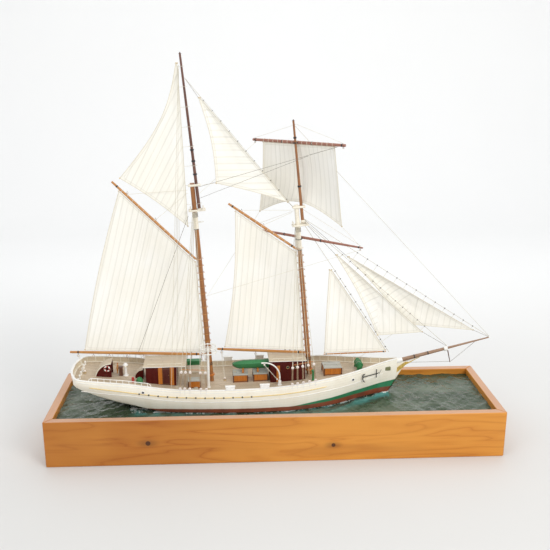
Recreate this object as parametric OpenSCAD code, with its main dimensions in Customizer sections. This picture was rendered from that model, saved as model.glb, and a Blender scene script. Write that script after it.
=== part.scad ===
// Two-masted topsail schooner model on a boxed sea, all sizes in millimetres.
// +X is the bow, +Y the port side, +Z up; the origin is the middle of the base's underside.

/* [Base box] */
// Outside length of the pine box
base_l = 1000; // [960:5:1100]
// Outside width of the pine box
base_w = 264; // [250:2:320]
// Height of the box walls
base_h = 106; // [104:1:130]
// Thickness of the dressed pine boards
board = 18; // [12:1:22]
// Thickness of the two plywood panels
panel = 9; // [6:1:12]

/* [Sea] */
// Height of the sea's level above the underside
sea_top = 92; // [84:1:96]
// Thickness of the plaster sea
sea_t = 14; // [8:1:20]

/* [Ship] */
// Distance of the ship's centreline behind the box's middle
ship_y = 13; // [0:1:20]
// Angle of the ship's heading, bow away to port
heading = 2; // [-2:0.5:4]
// Height of the bulwark above the deck
bulwark = 12.5; // [9:0.5:15]
// Thickness of the bulwark
wall = 3.2; // [2.4:0.2:4]

/* [Masts] */
// Rake of the main lower mast
main_rake = 4; // [2:0.5:5]
// Rake of the fore lower mast
fore_rake = 5; // [3:0.5:6]
// Radius of both lower masts at the foot
mast_r = 6; // [5:0.25:6.5]
// Radius of both topmasts at the heel
topmast_r = 3.6; // [3:0.2:4]
// Length of the main topmast
main_topmast_l = 330; // [280:5:360]
// Length of the fore topmast
fore_topmast_l = 222; // [200:2:240]

/* [Spars] */
// Swing of the main boom and gaff to port
main_swing = 4; // [0:1:8]
// Swing of the fore boom and gaff to port
fore_swing = 5.5; // [0:0.5:8]
// Angle of the yards off the ship's centreline
brace = 42; // [40:1:50]
// Half length of the fore yard
fore_yard_half = 154; // [120:2:160]
// Half length of the topsail yard
topsail_yard_half = 120; // [90:2:130]

/* [Sails] */
// Thickness of the sailcloth with its seams
cloth = 1; // [0.8:0.1:1.6]
// Depth of the belly in the big sails
belly = 12; // [0:1:16]

/* [Rigging] */
// Radius of the shrouds and stays
rope_r = 0.5; // [0.4:0.1:0.8]
// Radius of a deadeye
deadeye_r = 3; // [2.4:0.2:3.4]

/* [Hidden] */
$fn = 40;

gap = 0.3;                       // clearance round each mast in its socket
deck_t = 1.5;                    // deck planking
cap_t = 1.6;                     // cap rail
cap_over = 0.9;                  // overhang of the cap rail
hull_aft = -458;
hull_fwd = 286;
well_fwd = 277;                  // forward end of the open deck well

// Lines plan, each pair is [station, offset], offsets from the centreline or the sea
rail_breadth = [[-458, 14], [-454, 40], [-448, 60], [-438, 71], [-420, 75], [-395, 77], [-330, 80],
    [-262, 83], [-163, 87], [-60, 89], [0, 88], [50, 83.5], [80, 79], [117, 71.5], [148, 61.5],
    [185, 46], [210, 35], [235, 23], [262, 12], [286, 5.5]];
rail_height = [[-458, 84], [-440, 83], [-395, 79], [-328, 72.5], [-286, 66], [-261, 62], [-220, 57.5],
    [-163, 54.7], [-116, 54], [-45, 55.3], [10, 57.5], [50, 60], [80, 63], [117, 66.5], [148, 68.5],
    [182, 71], [206, 73.5], [233, 76.5], [262, 79.5], [303, 84]];
low_breadth = [[-458, 12], [-448, 55], [-438, 66], [-394, 66], [-354, 66], [-313, 66], [-262, 68],
    [-222, 72], [-173, 78], [-117, 83], [-60, 86], [16, 85], [74, 77], [119, 64], [143, 54],
    [193, 29], [234, 10], [258, 3], [286, 3]];
low_height = [[-458, 71], [-448, 67], [-438, 62], [-394, 42], [-354, 28.5], [-313, 16], [-262, 2],
    [-240, 0], [262, 0], [275, 15], [286, 38]];
keel_height = [[-458, 68], [-440, 52], [-394, 22], [-354, 6], [-330, 0], [262, 0], [275, 14], [286, 36.8]];
stations = concat([-458, -455, -451, -446, -440, -430, -415], [for (x = [-400:20:240]) x],
    [250, 258, 262, 268, 275, 280, 286]);

// A table value with its corners eased over a short length either side
function fair(x, table) = (lookup(x - 8, table) + 2 * lookup(x, table) + lookup(x + 8, table)) / 4;
function rail_y(x) = lookup(x, rail_breadth) * 0.5 + fair(x, rail_breadth) * 0.5;
function rail_z(x) = fair(x, rail_height);
function deck_z(x) = rail_z(x) - bulwark;
function inner_y(x) = lookup(x + (x > 0 ? wall : -wall), rail_breadth) - wall;
function low_z(x) = x > 250 ? lookup(x, low_height) : fair(x, low_height);
function keel_z(x) = x > 250 ? lookup(x, keel_height) : fair(x, keel_height);
function section(x) = let (b = lookup(x, low_breadth), z0 = keel_z(x), z1 = low_z(x),
        bt = rail_y(x), zt = rail_z(x), n = 7)
    concat([for (i = [0:3]) [b * i / 3, z0 + (z1 - z0) * pow(i / 3, 2)]],
        [for (i = [1:n]) [b + (bt - b) * sin(90 * min(1, 1.15 * i / n)), z1 + (zt - z1) * i / n]]);
// Half breadth of the outer skin at a station and height
function skin_y(x, z) = let (b = lookup(x, low_breadth), z1 = low_z(x), zt = rail_z(x),
        s = max(0, min(1, (z - z1) / (zt - z1))))
    b + (rail_y(x) - b) * sin(90 * min(1, 1.15 * s));

// Frames: the mast frames stand on the mast axes with +Z up the mast
main_foot = [-147.5, 0, 55];
fore_foot = [79.7, 0, 60];
mast_tenon = -24;                // foot of each lower mast in its hull socket
main_head_z = 445;
fore_head_z = 390;
main_trees_z = 386;
fore_trees_z = 345;
main_heel = [10.4, 0, 384];
fore_heel = [11.4, 0, 350];
main_top_lean = 1.6;
fore_top_lean = 0.9;
main_boom_a = [-9.5, 0, 52.7];
main_boom_b = [-313, 0, 80.6];
gaff_r = 3.1;
main_gaff_a = [-8.7, 0, 278];
main_gaff_b = [-170, 0, 460];
fore_boom_a = [-9.5, 0, 45.2];
fore_boom_b = [-207, 0, 69.4];
fore_gaff_a = [-8.5, 0, 292.5];
fore_gaff_b = [-147, 0, 405];
yard_z = 314;
yard_off = 14;
fore_yard_tilt = 2.5;            // both yards dip to starboard
topsail_yard_tilt = 1.5;
topsail_yard_z = 524;
topsail_yard_off = 7;
sprit_a = [286, 0, 75.5];
sprit_b = [404, 0, 103.6];
sprit_tip = [505, 0, 128];
stay_foot = [266, 0, 99];

// Rotation that turns +Z to the direction of v
function aim(v) = [0, acos(v.z / norm(v)), atan2(v.y, v.x)];
// A point of the mast frame, given as a point of the ship's frame
function from_mast(foot, rake, p) = foot + [p.x * cos(rake) - p.z * sin(rake), p.y,
    p.x * sin(rake) + p.z * cos(rake)];
function turned(p, a) = [p.x * cos(a) - p.y * sin(a), p.x * sin(a) + p.y * cos(a), p.z];

module aboard() { translate([0, ship_y, sea_top]) rotate([0, 0, heading]) children(); }
module at_main() { aboard() translate(main_foot) rotate([0, -main_rake, 0]) children(); }
module at_fore() { aboard() translate(fore_foot) rotate([0, -fore_rake, 0]) children(); }
module at_main_swing() { at_main() rotate([0, 0, -main_swing]) children(); }
module at_fore_swing() { at_fore() rotate([0, 0, -fore_swing]) children(); }
// The yards turn about a line through the middle of both parrels.
// Both yards lie in the XZ plane of their own frame.
upper_parrel_x = fore_heel.x - (topsail_yard_z - fore_heel.z) * tan(fore_top_lean);
parrel_lean = atan(upper_parrel_x / (topsail_yard_z - yard_z));
yard_plane_lean = atan((yard_off - topsail_yard_off) / (topsail_yard_z - yard_z));
module at_brace_line() { at_fore() translate([0, 0, yard_z]) rotate([0, parrel_lean, 0]) children(); }
module at_yards() {
    at_brace_line() rotate([0, 0, -brace]) translate([0, yard_off, 0]) rotate([yard_plane_lean, 0, 0])
        translate([0, 0, -yard_z]) children();
}

// A straight rope or rod between two points
module line(a, b, r = rope_r) {
    translate(a) rotate(aim(b - a)) cylinder(h = norm(b - a), r = r, $fn = 16);
}

// A round spar, full in the middle and tapered to both ends
module spar(a, b, r, end = 0.7) {
    l = norm(b - a);
    translate(a) rotate(aim(b - a)) union() {
        cylinder(h = l / 2, r1 = r * end, r2 = r);
        translate([0, 0, l / 2]) cylinder(h = l / 2, r1 = r, r2 = r * end);
    }
}

// An XZ outline extruded evenly to both sides of the centreline
module upright(w) { rotate([90, 0, 0]) linear_extrude(height = w, center = true) children(); }

// Two triangles for a four-sided face, or one where two corners are the same point
function quad(a, b, c, d) = c == d ? [[a, b, c]] : [[a, b, c], [a, c, d]];

// Closed solid through rings of equal point count, whose points pair off across from first and last
module loft(rings) {
    n = len(rings[0]);
    m = len(rings);
    half = ceil(n / 2) - 1;
    last = (m - 1) * n;
    polyhedron(
        points = [for (r = rings) each r],
        faces = concat(
            [for (i = [0:half - 1]) each quad(n - 1 - i, i, i + 1, n - 2 - i)],
            [for (i = [0:half - 1]) each
                [for (t = quad(n - 1 - i, i, i + 1, n - 2 - i)) [last + t[2], last + t[1], last + t[0]]]],
            [for (k = [0:m - 2], i = [0:n - 1]) let (j = (i + 1) % n)
                each quad(k * n + i, (k + 1) * n + i, (k + 1) * n + j, k * n + j)]),
        convexity = 8);
}

// Everything below the deck's top surface, used to seat what stands on deck
module under_deck() {
    upright(240) polygon(concat([for (x = stations) [x, deck_z(x)]], [[hull_fwd, -20], [hull_aft, -20]]));
}
module on_deck() { difference() { children(); under_deck(); } }

// A strip that follows the sheer between two offsets from the rail
module sheer_strip(low, high, w) {
    upright(w) polygon(concat([for (x = stations) [x, rail_z(x) + high]],
        [for (i = [len(stations) - 1:-1:0]) [stations[i], rail_z(stations[i]) + low]]));
}

// Plan outline inside the bulwark
module well_plan(inset = 0) {
    s = [for (x = stations) if (x > hull_aft + wall && x < well_fwd) x];
    ends = concat([hull_aft + wall + inset], s, [well_fwd - inset]);
    polygon(concat([for (x = ends) [x, max(0.5, inner_y(x) - inset)]],
        [for (i = [len(ends) - 1:-1:0]) [ends[i], -max(0.5, inner_y(ends[i]) - inset)]]));
}

// ---- base box ----
// One mitred board lying along X with its outer face at y = 0
module mitred_board(l) {
    linear_extrude(height = base_h)
        polygon([[-l / 2, 0], [l / 2, 0], [l / 2 - board, board], [-l / 2 + board, board]]);
}
module base_long_boards() {
    color("#d9913f") for (a = [0, 180])
        rotate([0, 0, a]) translate([0, -base_w / 2, 0]) mitred_board(base_l);
}
module base_end_boards() {
    color("#d48b3c") for (a = [90, 270])
        rotate([0, 0, a]) translate([0, -base_l / 2, 0]) mitred_board(base_w);
}
module inside_slab(z, t) {
    translate([-base_l / 2 + board, -base_w / 2 + board, z])
        cube([base_l - 2 * board, base_w - 2 * board, t]);
}
module base_bottom_panel() { color("#b98a55") inside_slab(0, panel); }
module sea_support_panel() { color("#b98a55") inside_slab(sea_top - sea_t - panel, panel); }
module base_corner_blocks() {
    size = 24;
    color("#c99a60") for (x = [-1, 1], y = [-1, 1])
        translate([x * (base_l / 2 - board - size / 2), y * (base_w / 2 - board - size / 2),
            (sea_top - sea_t) / 2]) cube([size, size, sea_top - sea_t - 2 * panel], center = true);
}
module sea() { color("#4f6a62") inside_slab(sea_top - sea_t, sea_t); }

// ---- hull ----
module hull_lines() {
    loft([for (x = stations) let (h = section(x), n = len(h)) concat(
        [for (i = [n - 1:-1:1]) [x, -h[i].x, h[i].y]],
        [for (p = h) [x, p.x, p.y]])]);
}
module hull() {
    color("#f3ecdc") aboard() difference() {
        hull_lines();
        intersection() {
            linear_extrude(height = 200) well_plan();
            sheer_strip(-bulwark - deck_t, 20, 240);
        }
        mast_holes();
    }
}
// Round holes that both masts stand in, open upwards
module mast_holes() {
    for (m = [[main_foot, main_rake], [fore_foot, fore_rake]])
        translate(m[0]) rotate([0, -m[1], 0]) translate([0, 0, mast_tenon])
            cylinder(h = 60, r = mast_r + gap);
}
module stem() {
    thick = 5;
    color("#efe6d2") aboard() upright(thick) polygon([[262, 0], [268, 0], [281, 22], [292, 44], [303, 63],
        [311, 75.8], [286, 69.9], [286, 36.8], [275, 14]]);
}
module deck() {
    color("#c9a873") aboard() difference() {
        intersection() {
            linear_extrude(height = 200) well_plan(0.1);
            sheer_strip(-bulwark - deck_t, -bulwark, 240);
        }
        mast_holes();
    }
}
module cap_rail() {
    color("#fbf7ec") aboard() intersection() {
        sheer_strip(0, cap_t, 240);
        linear_extrude(height = 200) difference() {
            polygon(concat([for (x = stations) [x, rail_y(x) + cap_over]],
                [for (i = [len(stations) - 1:-1:0]) [stations[i], -rail_y(stations[i]) - cap_over]]));
            offset(delta = -1) well_plan();
        }
    }
}
module trailboards() {
    color("#c9a03a") aboard() for (s = [-1, 1]) translate([0, s * 3.25, 0]) upright(1.5)
        polygon([[287, 56], [301, 64], [310, 73.6], [287, 68]]);
}

// ---- deckhouses ----
aft_house = [-292, -224, 31, 92];       // aft end, forward end, half width, wall top
fore_house = [-12, 66, 28, 95];
house_wall = 2;
roof_t = 2.4;

// Four walls round an open inside, standing on the sheer of the deck
module house(h) {
    on_deck() translate([h[0], -h[2], 20]) difference() {
        cube([h[1] - h[0], 2 * h[2], h[3] - 20]);
        translate([house_wall, house_wall, -1])
            cube([h[1] - h[0] - 2 * house_wall, 2 * (h[2] - house_wall), h[3]]);
    }
}
module aft_deckhouse() { color("#5a1a1c") aboard() house(aft_house); }
module forward_deckhouse() { color("#5a1a1c") aboard() house(fore_house); }
module joinery_panel(x, w, y, side, top) {
    on_deck() translate([x, side > 0 ? y : y - 1, 30]) cube([w, 1, top - 30]);
}
module house_joinery() {
    color("#c8641e") aboard() for (s = [-1, 1]) {
        for (x = [-265, -239]) joinery_panel(x, 9, s * aft_house[2], s, aft_house[3]);
        joinery_panel(-255, 15, s * aft_house[2], s, aft_house[3] - 5);
        joinery_panel(1, 8, s * fore_house[2], s, fore_house[3] - 10);
    }
}
module roof(x0, x1, half, z) {
    translate([x0, -half, z]) cube([x1 - x0, 2 * half, roof_t]);
}
module house_roofs() {
    color("#d8c8a4") aboard() {
        roof(-298, -203, aft_house[2] + 4, aft_house[3]);
        roof(-16, 70, fore_house[2] + 3, fore_house[3]);
    }
}

// ---- steering gear aft ----
shelter_x = -370;
shelter_r = 36;
shelter_half = 15;
module shelter_disc(r) {
    intersection() {
        circle(r = r, $fn = 96);
        translate([-r - 1, 0]) square([r + 1, r + 1]);
    }
}
module wheel_shelter() {
    base = deck_z(shelter_x) - 4;
    color("#7c1f22") aboard() on_deck() difference() {
        translate([shelter_x, 0, base]) upright(2 * shelter_half) shelter_disc(shelter_r);
        translate([shelter_x + 1, 0, base - 1]) upright(2 * shelter_half - 4) shelter_disc(shelter_r - 2);
    }
    color("#d8c8a4") aboard() on_deck() translate([shelter_x, 0, base]) upright(2 * shelter_half + 1.6)
        difference() {
            shelter_disc(shelter_r + 1.4);
            circle(r = shelter_r, $fn = 96);
        }
}
module lifebuoy() {
    color("#f6f2ea") aboard()
        translate([shelter_x - 9, -shelter_half - 2.5, deck_z(shelter_x) + 22]) rotate([90, 0, 0])
            rotate_extrude($fn = 48) translate([5.4, 0]) circle(r = 1.5, $fn = 20);
}
wheel_c = [-358, 0, deck_z(-358) + 17];
shaft_r = 1.3;
module steering_wheel() {
    color("#8a5a2c") aboard() translate(wheel_c) rotate([0, 90, 0]) difference() {
        union() {
            rotate_extrude($fn = 64) translate([8.6, 0]) square([1.6, 1.8], center = true);
            cylinder(h = 4, r = 3, center = true);
            for (a = [0:45:315]) rotate([0, 0, a]) translate([2, 0, 0]) rotate([0, 90, 0])
                cylinder(h = 11, r = 0.55, $fn = 16);
        }
        cylinder(h = 10, r = shaft_r + 0.15, center = true);
    }
}
module wheel_pedestal() {
    color("#6b3a22") aboard() {
        on_deck() translate([-354.5, -5, 40]) cube([8, 10, wheel_c.z + 4 - 40]);
        translate([-361, 0, wheel_c.z]) rotate([0, 90, 0]) cylinder(h = 6.5, r = shaft_r);
        translate([-361.8, 0, wheel_c.z]) rotate([0, 90, 0]) cylinder(h = 0.8, r = 2);
    }
}
binnacle_x = -340;
module binnacle() {
    top = deck_z(binnacle_x) + 24;
    color("#f2efe6") aboard() {
        on_deck() translate([binnacle_x, 0, 40]) cylinder(h = top - 40, r = 3.2);
        translate([binnacle_x, 0, top]) cylinder(h = 3, r = 5.4);
        translate([binnacle_x, 0, top + 3]) cylinder(h = 4, r1 = 4, r2 = 1.6);
    }
}

// ---- hatches, boat and deck gear ----
// Each hatch: aft end, forward end, starboard side, port side, height above deck
hatches = [[-318, -300, -10, 10, 22], [-198, -171, -44, -24, 16], [-96, -64, -16, 16, 16],
    [-50, -18, -16, 16, 16], [112, 152, -22, 14, 15]];
hatch_wall = 1.8;
lid_t = 2.2;
function hatch_top(h) = max(deck_z(h[0]), deck_z(h[1])) + h[4];
module hatch_coamings() {
    color("#c8641e") aboard() for (h = hatches) on_deck() difference() {
        translate([h[0], h[2], 20]) cube([h[1] - h[0], h[3] - h[2], hatch_top(h) - 20]);
        translate([h[0] + hatch_wall, h[2] + hatch_wall, 10])
            cube([h[1] - h[0] - 2 * hatch_wall, h[3] - h[2] - 2 * hatch_wall, 100]);
    }
}
module hatch_lids() {
    lip = 1.2;
    color("#a9a596") aboard() for (h = hatches)
        translate([h[0] - lip, h[2] - lip, hatch_top(h)])
            cube([h[1] - h[0] + 2 * lip, h[3] - h[2] + 2 * lip, lid_t]);
}
boat_x = -56;
boat_y = 3;
boat_z = hatch_top(hatches[3]) + lid_t + 6;
boat_half = 42;
// Half breadth and keel rise of the ship's boat along its length, stem at s = -1
function boat_b(s) = 12 * (s > 0 ? 1 - 0.35 * s * s : sqrt(max(0.02, 1 - pow(-s, 2.2))));
function boat_k(s) = s < -0.5 ? 9 * pow((-s - 0.5) * 2, 2) : 0;
boat_depth = 15;
boat_cover = 5.3;                // rise of the arched cover over the gunwale
// One ring of the covered boat, from the middle of the cover round the planking and back
function boat_ring(s) = let (x = boat_x + s * boat_half, b = boat_b(s), k = boat_k(s),
        top = boat_depth + 3 * s * s)
    concat([for (f = [-0.25, -0.75]) [x, boat_y + f * b, boat_z + top + boat_cover * (1 - f * f)]],
        [for (a = [-90:20:90]) [x, boat_y + b * sin(a), boat_z + k + (top - k) * (1 - pow(cos(a), 1.4))]],
        [for (f = [0.75, 0.25]) [x, boat_y + f * b, boat_z + top + boat_cover * (1 - f * f)]]);
module boat() { color("#2f7a4f") aboard() loft([for (s = [-1:0.125:1]) boat_ring(s)]); }
module boat_chocks() {
    top = boat_z - 0.1;
    color("#b06a30") aboard() for (c = [[-42, 3], [-76, 2]]) {
        low = hatch_top(hatches[c[1]]) + lid_t;
        translate([c[0], -10, low]) cube([4, 24, top - low]);
    }
}
davit_p = [7, -44];
davit_r = 1.7;
davit_reach = 34;
module davit() {
    base = deck_z(davit_p.x) + 6;
    straight = 14;
    color("#f6f2ea") aboard() translate([davit_p.x, davit_p.y, base]) {
        cylinder(h = straight, r = davit_r);
        translate([-davit_reach, 0, straight]) rotate([90, 0, 0]) rotate_extrude(angle = 90, $fn = 96)
            translate([davit_reach, 0]) circle(r = davit_r, $fn = 24);
        translate([-davit_reach - 6, 0, straight + davit_reach]) rotate([0, 90, 0])
            cylinder(h = 6, r = davit_r);
        line([-davit_reach - 3, 0, straight + davit_reach - davit_r], [-4, 0, 3], 0.4);
    }
}
module davit_socket() {
    base = deck_z(davit_p.x) + 6;
    translate([davit_p.x, davit_p.y, 0]) on_deck_at(davit_p) difference() {
        translate([0, 0, 30]) cylinder(h = base - 30 + 5, r = 3.6);
        translate([0, 0, base - 0.01]) cylinder(h = 20, r = davit_r + 0.2);
    }
}
// Seats a piece that is drawn about its own foot
module on_deck_at(p) { difference() { children(); translate([-p.x, -p.y, 0]) under_deck(); } }
ring_p = [-153, -38];
module ring_stand() {
    top = 139;
    color("#f6f2ea") aboard() {
        on_deck() translate([ring_p.x, ring_p.y, 20]) cylinder(h = top - 20 - 1.2, r = 2.8);
        for (z = [top, top - 11]) translate([ring_p.x, ring_p.y, z]) {
            rotate_extrude($fn = 72) translate([19, 0]) circle(r = 1.1, $fn = 20);
            for (a = [0, 90]) rotate([0, 0, a]) translate([-18.4, 0, 0]) rotate([0, 90, 0])
                cylinder(h = 36.8, r = 0.8, $fn = 16);
        }
    }
}
windlass_c = [195, -2, deck_z(195) + 13];
module windlass_frame() {
    color("#2f7a4f") aboard() on_deck() for (s = [-1, 1]) difference() {
        translate([windlass_c.x - 7, windlass_c.y + s * 15 - 1.5, 20]) cube([14, 3, windlass_c.z + 8 - 20]);
        translate([windlass_c.x, windlass_c.y + s * 15, windlass_c.z]) rotate([90, 0, 0])
            cylinder(h = 10, r = 2.2, center = true);
    }
}
module windlass_drum() {
    color("#3c8a5c") aboard() translate(windlass_c) rotate([90, 0, 0]) {
        cylinder(h = 40, r = 2, center = true);
        cylinder(h = 24, r = 6, center = true);
        for (z = [-11, 0, 11]) translate([0, 0, z]) cylinder(h = 2.4, r = 8.5, center = true);
        for (s = [-1, 1]) translate([0, 0, s * 19]) cylinder(h = 4, r = 4.5, center = true);
    }
}
module anchors() {
    color("#3a3a3c") aboard() for (s = [-1, 1]) {
        crown = [198, s * (skin_y(198, 56) + 4.5), 56];
        ring = [236, s * (skin_y(236, 57) + 4.5), 57];
        line(crown, ring, 1.1);
        line(ring + [-3, 0, -9], ring + [-3, 0, 9], 0.9);
        line(crown, crown + [-3, 0, 7], 1.1);
        line(crown, crown + [8, 0, -12], 1.1);
    }
}
module deck_lockers() {
    under = 30;                  // starts inside the hull, cut off along the deck
    color("#2f7a4f") aboard() {
        on_deck() translate([-307, -30, under]) cylinder(h = deck_z(-307) + 12 - under, r = 7.5);
        on_deck() translate([-203, 44, under]) cube([31, 14, deck_z(-180) + 30 - under]);
        on_deck() translate([84, -37, under]) cylinder(h = deck_z(84) + 20 - under, r = 2.6);
        translate([84, -37, deck_z(84) + 20]) cylinder(h = 5, r1 = 2.6, r2 = 4.4);
    }
}
// A rod between two stanchions, ending short of their middles
module rail_rod(x0, x1, s) {
    a = [x0, s * (rail_y(x0) - 2.4), rail_z(x0) + 7.2];
    b = [x1, s * (rail_y(x1) - 2.4), rail_z(x1) + 7.2];
    short = (b - a) * 0.3 / norm(b - a);
    line(a + short, b - short, 0.45);
}
// White stanchions, knobs and rail blocks
module rail_fittings() {
    color("#f6f2ea") aboard() {
        davit_socket();
        for (s = [-1, 1], x = [-405:20:-285]) translate([x, s * (rail_y(x) - 2.4), rail_z(x) + cap_t + 0.2])
            cylinder(h = 6.7, r = 0.7, $fn = 16);
        for (s = [-1, 1], x = [-405:20:-305]) rail_rod(x, x + 20, s);
        for (y = [-50:20:50]) on_deck() translate([-438, y, 40])
            cylinder(h = deck_z(-438) + 9 - 40, r = 2.2);
        difference() {
            for (s = [-1, 1], x = [-116, -40])
                translate([x, s * (rail_y(x) - 2) - 3, rail_z(x)]) cube([20, 6, 11]);
            sheer_strip(-bulwark, cap_t, 240);
        }
    }
}

// ---- masts ----
module lower_mast(head_z) {
    translate([0, 0, mast_tenon]) cylinder(h = head_z - mast_tenon, r1 = mast_r, r2 = mast_r * 0.8);
}
module main_lower_mast() { color("#a8612c") at_main() lower_mast(main_head_z); }
module fore_lower_mast() { color("#a8612c") at_fore() lower_mast(fore_head_z); }
module topmast(heel, lean, l) {
    translate(heel) rotate([0, -lean, 0]) {
        cylinder(h = l, r1 = topmast_r, r2 = topmast_r * 0.6);
        translate([0, 0, l]) sphere(r = topmast_r * 0.75);
    }
}
module main_topmast() { color("#7d3a22") at_main() topmast(main_heel, main_top_lean, main_topmast_l); }
module fore_topmast() { color("#7d3a22") at_fore() topmast(fore_heel, fore_top_lean, fore_topmast_l); }

// Cap over the doubling, with a round hole for each mast
module mast_cap(z, heel, lean, head_z) {
    tx = heel.x - (z - heel.z) * tan(lean);
    difference() {
        translate([tx / 2, 0, z]) cube([tx + 17, 12, 5], center = true);
        translate([0, 0, z]) cylinder(h = 8, r = mast_r * 0.8 + 0.35, center = true);
        translate([tx, 0, z]) rotate([0, -lean, 0]) cylinder(h = 8, r = topmast_r + 0.35, center = true);
    }
}
// Trestle trees fore and aft with two crosstrees over them
module trees(z, heel, span) {
    difference() {
        union() {
            for (y = [-1, 1]) translate([heel.x / 2, y * (mast_r + 2.2), z])
                cube([heel.x + 26, 3, 4], center = true);
            for (x = [-9, heel.x + 8]) translate([x, 0, z + 3.2]) cube([3, span, 2.4], center = true);
        }
        translate([0, 0, z]) cylinder(h = 12, r = mast_r + 0.3, center = true);
    }
}
module crosstrees() {
    color("#e8dcc0") {
        at_main() {
            mast_cap(main_head_z - 5, main_heel, main_top_lean);
            trees(main_trees_z, main_heel, 46);
        }
        at_fore() {
            mast_cap(fore_head_z - 5, fore_heel, fore_top_lean);
            trees(fore_trees_z, fore_heel, 40);
        }
    }
}
module bowsprit() {
    color("#9a5a30") aboard() difference() {
        union() {
            translate(sprit_a) rotate(aim(sprit_b - sprit_a)) translate([0, 0, -8])
                cylinder(h = norm(sprit_b - sprit_a) + 8, r1 = 4.8, r2 = 3.4);
            translate(sprit_b) rotate(aim(sprit_tip - sprit_b))
                cylinder(h = norm(sprit_tip - sprit_b), r1 = 2.8, r2 = 1.5);
        }
        translate([hull_fwd - 60, -20, 40]) cube([60, 40, 80]);
    }
    color("#e8dcc0") aboard() translate(sprit_b - [2, 0, 0.5]) rotate(aim(sprit_b - sprit_a))
        rotate_extrude($fn = 48) translate([4.7, 0]) square([2.1, 5], center = true);
}
module dolphin_striker() {
    color("#6b3a22") aboard() line([407, 0, 97.6], [414, 0, 69], 1.1);
}

// ---- moving spars ----
// Two cheeks that clasp a mast whose axis is the frame's Z
module jaws(z, r) {
    difference() {
        translate([0, 0, z - 2]) cylinder(h = 4, r = r + 3.4);
        translate([0, 0, z - 3]) cylinder(h = 6, r = r + 0.5);
        translate([r * 0.45, -20, z - 3]) cube([20, 40, 6]);
    }
}
module main_boom() {
    color("#b9752f") at_main_swing() {
        spar(main_boom_a, main_boom_b, 3.4);
        jaws(main_boom_a.z, mast_r);
    }
}
module main_gaff() {
    color("#b9752f") at_main_swing() {
        spar(main_gaff_a, main_gaff_b, gaff_r);
        jaws(main_gaff_a.z, mast_r);
    }
}
module fore_boom() {
    color("#b9752f") at_fore_swing() {
        spar(fore_boom_a, fore_boom_b, 3.2);
        jaws(fore_boom_a.z, mast_r);
    }
}
module fore_gaff() {
    color("#b9752f") at_fore_swing() {
        spar(fore_gaff_a, fore_gaff_b, gaff_r);
        jaws(fore_gaff_a.z, mast_r);
    }
}
// A point along a yard, on its port side where s is -1
function yard_end(half, z, s, tilt) = [s * half * cos(tilt), 0, z - s * half * sin(tilt)];
module yard(half, z, r, end, tilt) {
    spar(yard_end(half, z, -1, tilt), yard_end(half, z, 1, tilt), r, end);
}
// Ring that holds a yard to its mast, loose enough to turn, h up the line the yards turn about
module parrel(h, r) {
    at_brace_line() translate([0, 0, h]) difference() {
        cylinder(h = 4, r = r + 2, center = true);
        cylinder(h = 5, r = r, center = true);
    }
}
module fore_yard() {
    color("#7d3a22") {
        at_yards() {
            yard(fore_yard_half, yard_z, 3, 0.5, fore_yard_tilt);
            line([0, -6.8, yard_z], [0, 0, yard_z], 1.4);
        }
        parrel(0, 5.9);
    }
}
module topsail_yard() {
    rise = (topsail_yard_z - yard_z) * cos(yard_plane_lean) - topsail_yard_off * sin(yard_plane_lean);
    color("#7d3a22") {
        at_yards() yard(topsail_yard_half, topsail_yard_z, 3.5, 0.85, topsail_yard_tilt);
        parrel(rise, 3.4);
    }
}
club_a = [259, 0, 100];
club_b = [113, 0, 98];
module staysail_club() { color("#b9752f") aboard() spar(club_a, club_b, 1.6); }

// ---- sails ----
// One sail between four corners [tack, clew, peak, throat] given as [x, z]
function sail_point(c, u, v, b, roach, skew, foot, lee) =
    let (p = (1 - v) * ((1 - u) * c[0] + u * c[1]) + v * ((1 - u) * c[3] + u * c[2]))
    [p.x - roach * u * u * sin(180 * pow(v, skew)), b * sin(162 * u) * sin(180 * v) + lee * u * (1 - v),
        p.y - foot * sin(180 * u) * pow(1 - v, 2)];
module sail(c, b = belly, roach = 0, skew = 1, foot = 0, lee = 0) {
    nu = 12;
    nv = 14;
    side = [0, cloth / 2, 0];
    color("#f1eddc") loft([for (j = [0:nv]) concat(
        [for (i = [0:nu]) sail_point(c, i / nu, j / nv, b, roach, skew, foot, lee) + side],
        [for (i = [nu:-1:0]) sail_point(c, i / nu, j / nv, b, roach, skew, foot, lee) - side])]);
}
module mainsail() {
    at_main_swing() sail([[-10, 58.5], [-279, 83.5], [-157.5, 438.5], [-10, 271]], belly, 7);
}
module gaff_topsail() {
    at_main_swing() sail([[-18, 352], [-152, 466], [-9, 692], [-6, 692]], belly / 3, -26, 1, -6);
}
module foresail() {
    at_fore_swing() sail([[-9.5, 51], [-189, 73.5], [-133.5, 387], [-9.5, 284]], belly, -9);
}
module topmast_staysail() {
    aboard() sail([[27, 455], [-127, 498], [-160, 676], [-157, 676]], belly / 2, -8, 1, -3);
}
module square_topsail() {
    at_yards() sail([[104, 349], [-116, 364], [-92, 522.4], [94, 517.5]], belly, 0, 1, -38);
}
module fore_staysail() { aboard() sail([[258, 104], [115, 102.5], [122, 300], [127, 300]], 6); }
module jib() { aboard() sail([[343, 146], [239, 139], [136, 334], [139, 334]], 6, -6, 1, 0, 6); }
module flying_jib() { aboard() sail([[464, 147], [309, 162], [163, 329], [166, 329]], 6, -4, 1, 0, 12); }

// ---- rigging ----
main_shroud_x = [-215, -205, -194, -170, -158];
fore_shroud_x = [31, 43, 56, 70, 84];
lanyard = 36;
module deadeye_pair(x, s, head) {
    low = [x, s * (rail_y(x) - 0.5), rail_z(x) + cap_t + deadeye_r + 0.3];
    up = low + (head - low) * lanyard / norm(head - low);
    for (p = [low, up]) translate(p) rotate([90, 0, 0])
        cylinder(h = 3, r = deadeye_r, center = true, $fn = 24);
    for (d = [-1.3, 1.3]) line(low + [d, 0, 0], up + [d, 0, 0], 0.4);
}
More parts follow.
